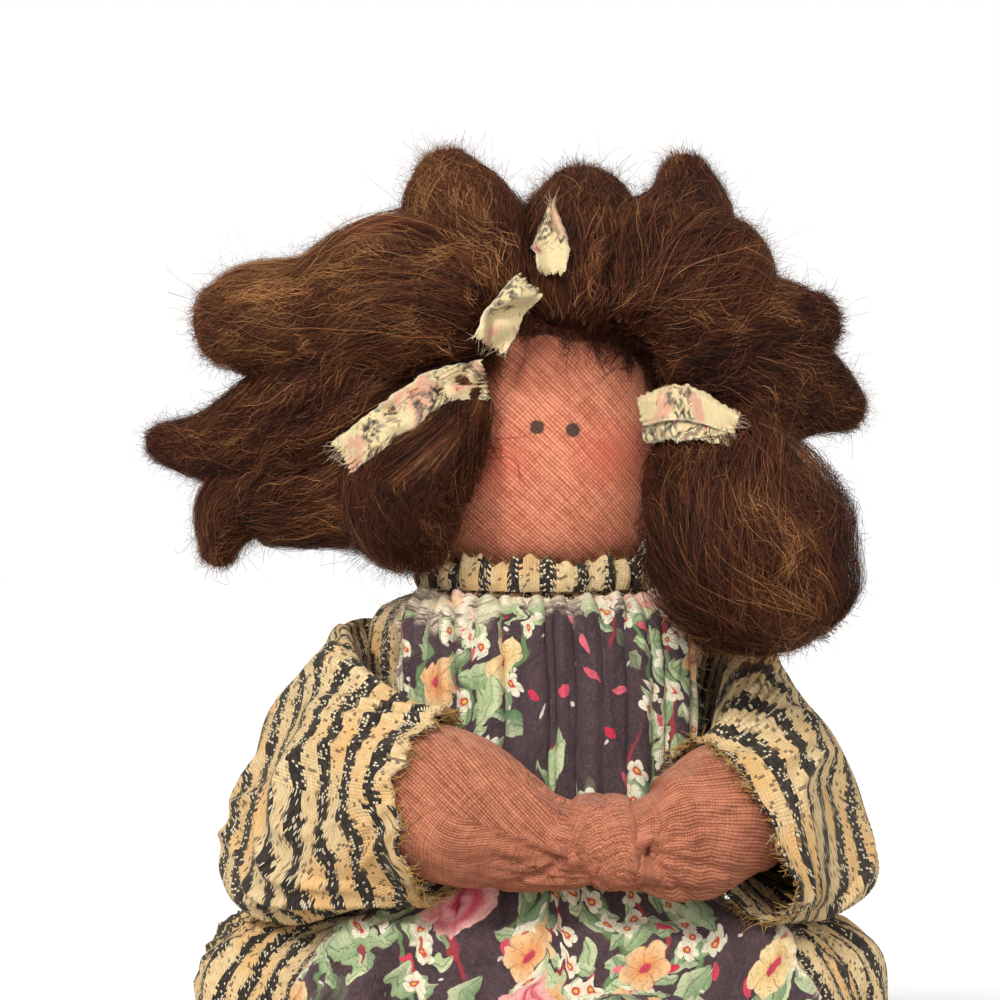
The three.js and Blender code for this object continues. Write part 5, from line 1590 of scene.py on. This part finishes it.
def build_tie(name, places, widths, seed):
    """A torn strip that lies on the hair; the right one is folded double along its length."""
    spots = [hair_front(*place_in_hair(spot)) for spot in places]
    line, along, length = even_path(spots, 60)
    t = np.linspace(0, 1, 60)[:, None]
    s = np.linspace(-1, 1, 41)[None, :]
    wide = unit(np.cross(np.array([0, 1.0, 0]), along))
    rag = 1 + 0.06 * soft_noise(t * length * 1.5, np.sign(s) * 9, seed, 2, 7) + 0.05 * np.cos(t * 9 + seed)
    half = np.interp(t, [0, 0.4, 1], widths) * STRIP_WIDTH / 2 * rag
    ragged = 0.5 * soft_noise(s * 12, 0 * t + seed, seed + 2, 2, 6) * (ease(0.12, 0, t) + ease(0.88, 1, t))
    curl = 1.1 * s**2 + 1.4 * np.sin(t * 6 + seed) * s + 0.8 * soft_noise(t * length, s * 5, seed + 1, 5, 12)
    out = s * half
    if name == "right":
        out = np.where(s < 0, -1 - 2 * s, 1.25 * s - 1) * half
        curl = curl * 0.4 + np.where(s > 0, -1.9 * ease(0, 0.25, s) - 0.5 * np.sin(t * 11), 0)
    grid = line[:, None, :] + wide[:, None, :] * out[..., None] + along[:, None, :] * ragged[..., None]
    for point in grid.reshape(-1, 3):
        hit = first_hit(hair_tree, point[0], point[2])
        if hit is not None:
            point[1] = max(min(hit, point[1] + 5), point[1] - 4)
    grid[..., 1] = blur(grid[..., 1], 4)
    grid[..., 1] += -3.4 + curl
    across, down = arc_uv(grid)
    worn = ease(0.8, 0.0, np.minimum(across, across[:, -1:] - across)) * 0.8
    mesh = cloth_mesh(f"tie_{name}_cloth", grid, across + seed * 13, down + seed * 29, worn)
    piece = make_piece(mesh.name, mesh, "head", tie_cloth, [f"tie_{name}"], TIE_THICK, 0.0)
    for label, column, inner in (("near", 0, 3), ("far", -1, -4)):
        fray_edge(f"tie_{name}_{label}_fray", grid, column, (inner,), 26, seed * 3 + inner, 0.3, 1.3,
                  pale_thread, "head", width=0.16)
    fray_edge(f"tie_{name}_end_fray", grid, None, (-1, -4), 34, seed * 5, 0.5, 3.2,
              pale_thread, "head", width=0.16)
    return piece, length


ties = {name: build_tie(name, *row, seed) for seed, (name, row) in enumerate(TIES.items(), 301)}

# ---- loose hair that bridges the bunches ---------------------------------------------------------------
CELL = 1.5
GRID_X = np.arange(-84, 76, CELL)
GRID_Z = np.arange(88, 214, CELL)
NO_HAIR = -99.0


@functools.cache
def hair_depth(sign):
    """How far the hair stands to the front, sign -1, or the back, with its valleys bridged.

    Also how deep the solids lie under that, and where there is hair at all.
    """
    depth = np.full((len(GRID_Z), len(GRID_X)), NO_HAIR)
    bunches, head = solid_tree("hair_"), solid_tree("head_", "collar")
    for i, z in enumerate(GRID_Z):
        for j, x in enumerate(GRID_X):
            hit, skin = (first_hit(tree, x, z, sign * DEPTH_START) for tree in (bunches, head))
            if hit is not None and (skin is None or (hit - skin) * sign > 0):
                depth[i, j] = sign * hit
    found = depth > NO_HAIR
    bridged = neighbours(depth, np.maximum, 3, NO_HAIR)
    bridged = neighbours(np.where(bridged > NO_HAIR, bridged, -NO_HAIR), np.minimum, 3, -NO_HAIR)
    for _ in range(6):
        around = neighbours(np.where(found, depth, NO_HAIR), np.maximum, 1, NO_HAIR)
        depth = np.where(depth > NO_HAIR, depth, around)
        bridged = np.where(np.abs(bridged) < -NO_HAIR, bridged, around)
    blurred = blur(np.maximum(bridged, depth), 1)
    return blurred, blurred - depth, found


def sample(values, x, z):
    """A grid's values between its places."""
    column = np.clip((x - GRID_X[0]) / CELL, 0, len(GRID_X) - 1.001)
    row = np.clip((z - GRID_Z[0]) / CELL, 0, len(GRID_Z) - 1.001)
    i, j = row.astype(int), column.astype(int)
    f, g = row - i, column - j
    near = values[i, j] * (1 - g) + values[i, j + 1] * g
    return near * (1 - f) + (values[i + 1, j] * (1 - g) + values[i + 1, j + 1] * g) * f


def spots_in(rng, rows, columns):
    """Places at random in and beside cells of the grid, as x and z."""
    spot = np.stack([GRID_X[columns], GRID_Z[rows]], axis=1)
    return spot + rng.uniform(-1, 1, spot.shape) * CELL


def walk(spot, steps, long, heading):
    """The fibres' paths over x and z; heading gives their angles at each step."""
    path = [spot]
    for step in range(steps - 1):
        turn = heading(step, spot)
        spot = spot + np.stack([np.cos(turn), np.sin(turn)], axis=1) * (long / steps)[:, None]
        path.append(spot)
    return np.stack(path, axis=1)


def build_veil(name, sign, count, seed):
    """Loose fibres that follow the bunches below them and lie across the valleys between."""
    rng = np.random.default_rng(seed)
    depth, sunk, found = hair_depth(sign)
    slope_z, slope_x = np.gradient(depth, CELL)
    lines_at, ways_at = [], []
    for bunch, rows in BUNCHES.items():
        if bunch.startswith("back") == (sign > 0) or bunch == "top_left":
            line, along = bunch_line(rows, 12)[:2]
            lines_at.append(line[:, [0, 2]])
            ways_at.append(along[:, [0, 2]])
    lines_at, ways_at = np.concatenate(lines_at), np.concatenate(ways_at)
    rows, columns = np.nonzero(found)
    pick = rng.integers(0, len(rows), count)
    spot = spots_in(rng, rows[pick], columns[pick])
    steps, long = 14, rng.uniform(8, 28, count)
    own, phase = rng.normal(0, 0.35, count), rng.uniform(0, ROUND, count)

    def heading(step, spot):
        off = ((spot[:, None, :] - lines_at[None]) ** 2).sum(axis=2)
        way = (np.exp(-off / 160)[..., None] * ways_at[None]).sum(axis=1)
        tangle = 0.7 + 0.7 * ease(15, 30, spot[:, 0]) * ease(150, 138, spot[:, 1])
        swirl = soft_noise(spot[:, 0], spot[:, 1], seed + 1, 12, 30)
        return np.arctan2(way[:, 1], way[:, 0]) + own + tangle * swirl + 0.45 * np.sin(phase + step * 0.9)

    path = walk(spot, steps, long, heading)
    x, z = path[..., 0], path[..., 1]
    inside = sample(found * 1.0, x, z).mean(axis=1) > 0.95
    tie_points = np.concatenate([place_in_hair(places) for places, _ in TIES.values()])
    near_tie = np.sqrt(((path[:, :, None, :] - tie_points) ** 2).sum(axis=3)).min(axis=(1, 2)) < 6
    on_hair = sample(depth, x, z).min(axis=1) > -20
    rim = neighbours(found * 1.0, np.minimum, 3, 0.0) < 1
    free = sample((rim & (sunk > 1.2)) * 1.0, x, z).mean(axis=1) > 0.1
    path = path[inside & on_hair & ~free & ~(near_tie & (sign < 0))]
    count = len(path)
    x, z = path[..., 0], path[..., 1]
    clump = soft_noise(x + 3 * np.sin(z / 9), z + 3 * np.sin(x / 8), seed + 2, 7, 19)
    rise = rng.uniform(0.1, 1.3, (count, 1))
    rise = rise + 0.5 * np.sin(np.linspace(0, 9, steps) + rng.uniform(0, 6, (count, 1)))
    rise = rise + np.clip(1.1 * clump, -1.2, 1.6)
    lines = xyz(x, sign * (sample(depth, x, z) + rise), z)
    facing = xyz(-sample(slope_x, x, z), sign, -sample(slope_z, x, z)) + rng.normal(0, 0.35, (count, 1, 3))
    widths = 0.1 * rng.uniform(0.5, 1.3, (count, 1)) + 0 * x
    middle = clump[:, steps // 2 : steps // 2 + 1]
    # painted highlight: lighter towards the upper left and on the raised clumps
    painted_light = ease(30, -50, x) * ease(146, 180, z) * 0.26 + 0.16 * middle + 0.08 * clump
    # painted shade where the fibres bridge a deep valley between the bunches
    painted_light = painted_light - 0.5 * ease(0.8, 4.5, sample(sunk, x, z))
    tones = np.clip(rng.uniform(0.0, 0.9, (count, 1)) ** 1.3 + painted_light, 0, 1)
    return add_hair(name, lines, facing, widths, tones)


def build_fringe(name, count, seed):
    """Fine hairs that come from under the bunches and lie on the face, most of them at its edge."""
    rng = np.random.default_rng(seed)
    face = solid_tree("head_front")
    depth, _, found = hair_depth(-1)
    x, z = np.meshgrid(GRID_X, GRID_Z)
    oval = ((x - 4) / 23) ** 2 + ((z - 141) / 30) ** 2 < 1
    edge = found & (neighbours((~found & oval) * 1.0, np.maximum, 1, 0.0) > 0) & (z > 121)
    rows, columns = np.nonzero(edge)
    weight = 1 + 5 * ease(150, 160, GRID_Z[rows])
    pick = rng.choice(len(rows), count, p=weight / weight.sum())
    spot = spots_in(rng, rows[pick], columns[pick])
    high = ease(148, 160, spot[:, 1])
    steps, t = 12, np.linspace(0, 1, 12)
    long = rng.uniform(1.5, 4.5, count) * (1 + 1.1 * high)
    long = long + (rng.random(count) < 0.07) * rng.uniform(5, 12, count)
    aim = np.arctan2(138 - spot[:, 1], 5 - spot[:, 0]) + rng.normal(0, 0.75, count)
    curl, phase = rng.normal(0, 0.12, count), rng.uniform(0, ROUND, count)
    turned = [aim]
    for step in range(steps - 1):
        turned.append(turned[-1] + curl + 0.22 * np.sin(phase + step * 0.8))
    path = walk(spot, steps, long, lambda step, _: turned[step + 1])
    x, z = path[..., 0], path[..., 1]
    lines = xyz(x, -sample(depth, x, z), z)
    for line in lines:
        for index, point in enumerate(line):
            hit = first_hit(face, point[0], point[2])
            skin = hit - 0.3 if hit is not None else line[index - 1][1]
            on_skin = blend(min(point[1], skin), skin, ease(0, 0.6, t[index]))
            point[1] = on_skin - 0.5 * math.sin(t[index] * math.pi)
    facing = np.array([0, -1.0, 0]) + rng.normal(0, 0.4, (count, 1, 3)) + 0 * lines
    widths = 0.09 * rng.uniform(0.5, 1.2, (count, 1)) * (1 - 0.5 * t)[None, :]
    tones = rng.uniform(0.0, 0.5, (count, 1)) + 0 * t[None, :]
    return add_hair(name, lines, facing, widths, tones)


def build_sweep(name, count, seed):
    """The lock that comes out of the left tie, brushed down and outwards over the hair beside the cheek."""
    rng = np.random.default_rng(seed)
    depth, _, _ = hair_depth(-1)
    steps = 22
    t = np.linspace(0, 1, steps)[None, :]
    lane, own = rng.normal(0, 1, (count, 1)), rng.normal(0, 1, (count, 1))
    phase = rng.uniform(0, ROUND, (count, 1))
    fan = blend(2.0, 7.5, t**0.7) * lane
    x = -11.0 - 30 * t**1.15 * rng.uniform(0.6, 1.1, (count, 1)) + 0.35 * fan + 0.9 * own * t
    z = 153.0 - 27 * t**0.85 - 0.75 * fan + 0.7 * np.sin(t * 9 + phase) * (0.3 + t)
    rise = 2.4 * hump(lane, 1.1) * np.sin(np.clip(t * 1.15, 0, 1) * np.pi)
    rise = rise + rng.uniform(0, 1.2, (count, 1))
    lines = xyz(x, -(sample(depth, x, z) + rise), z)
    facing = np.array([0, -1.0, 0]) + rng.normal(0, 0.35, (count, 1, 3)) + 0 * lines
    widths = 0.11 * rng.uniform(0.5, 1.3, (count, 1)) * (1 - 0.5 * t**2)
    tones = np.clip(rng.uniform(0.0, 0.85, (count, 1)) + 0.2 * np.sin(lane * 4) + 0 * t, 0, 1)
    over_hair = lines[..., 1].max(axis=1) < 0
    return add_hair(name, lines[over_hair], facing[over_hair], widths[over_hair], tones[over_hair])


build_sweep("swept_roving", 1500, 407)
build_veil("loose_roving_front", -1, 17000, 401)
build_veil("loose_roving_back", 1, 8000, 403)
build_fringe("face_strays", 1700, 405)

# ---- inner filling -------------------------------------------------------------------------------------
for node in ("torso_stuffing", "head_stuffing"):
    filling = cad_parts[node]
    filling.data.materials.clear()
    filling.data.materials.append(wool)


# ---- stage, light and camera ---------------------------------------------------------------------------
def add_node(tree, kind, inputs=(), **settings):
    """A node with its settings; each input is given a value, or a socket that is joined to it."""
    node = tree.nodes.new(kind)
    for name, value in settings.items():
        setattr(node, name, value)
    for key, value in dict(inputs).items():
        if isinstance(value, bpy.types.NodeSocket):
            tree.links.new(value, node.inputs[key])
        else:
            node.inputs[key].default_value = value
    return node


def empty_tree(owner):
    owner.use_nodes = True
    owner.node_tree.nodes.clear()
    return owner.node_tree


def add_floor():
    """Pale paper that the camera sees nearly white and that keeps the doll's shadow."""
    bpy.ops.mesh.primitive_plane_add(size=12, location=(0, 0, 0))
    floor = bpy.context.object
    floor.name = "floor"
    material = bpy.data.materials.new("floor_paper")
    tree = empty_tree(material)
    seen = add_node(tree, "ShaderNodeLightPath").outputs["Is Camera Ray"]
    seen = add_node(tree, "ShaderNodeMath", {0: seen, 1: FLOOR_GLOW}, operation="MULTIPLY")
    paper = add_node(tree, "ShaderNodeBsdfDiffuse", {"Color": (FLOOR_TONE, FLOOR_TONE, FLOOR_TONE, 1)})
    glow = add_node(tree, "ShaderNodeEmission", {"Color": (1, 1, 1, 1), "Strength": seen.outputs[0]})
    both = add_node(tree, "ShaderNodeAddShader", {0: paper.outputs[0], 1: glow.outputs[0]})
    add_node(tree, "ShaderNodeOutputMaterial", {"Surface": both.outputs[0]})
    floor.data.materials.append(material)


def add_world():
    """White to the camera and in reflections, and softer as light on the doll."""
    world = bpy.data.worlds.new("studio")
    bpy.context.scene.world = world
    tree = empty_tree(world)
    rays = add_node(tree, "ShaderNodeLightPath").outputs
    seen = rays["Is Camera Ray"]
    for ray in ("Is Transmission Ray", "Is Glossy Ray"):
        more = add_node(tree, "ShaderNodeMath", {0: seen, 1: rays[ray]}, operation="MAXIMUM")
        seen = more.outputs[0]
    strength = add_node(tree, "ShaderNodeMapRange", {"Value": seen, "To Min": WORLD_LIGHT, "To Max": 1.0})
    sky = add_node(tree, "ShaderNodeBackground", {"Color": (1, 1, 1, 1), "Strength": strength.outputs[0]})
    add_node(tree, "ShaderNodeOutputWorld", {"Surface": sky.outputs[0]})


def add_sun(name, energy, spread, way):
    lamp = bpy.data.objects.new(name, bpy.data.lights.new(name, "SUN"))
    lamp.data.energy, lamp.data.angle = energy, math.radians(spread)
    lamp.rotation_euler = Vector(way).to_track_quat("-Z", "Y").to_euler()
    bpy.context.scene.collection.objects.link(lamp)


add_floor()
add_world()
add_sun("key", 2.1, 12, (0.34, 0.85, -0.66))
add_sun("fill", 1.3, 60, (-0.15, 1.0, -0.35))
camera = bpy.data.objects.new("camera", bpy.data.cameras.new("camera"))
bpy.context.scene.collection.objects.link(camera)
camera.data.sensor_width = SENSOR
camera.data.lens = SENSOR * CAMERA_DISTANCE / VIEW_WIDTH
camera.data.clip_end = 50
camera.location = Vector(place([CAMERA_X, FRONT_PLANE - CAMERA_DISTANCE, CAMERA_HEIGHT]))
camera.rotation_euler = (math.pi / 2, 0, 0)
bpy.context.scene.camera = camera
bpy.context.scene.view_settings.view_transform = "Standard"
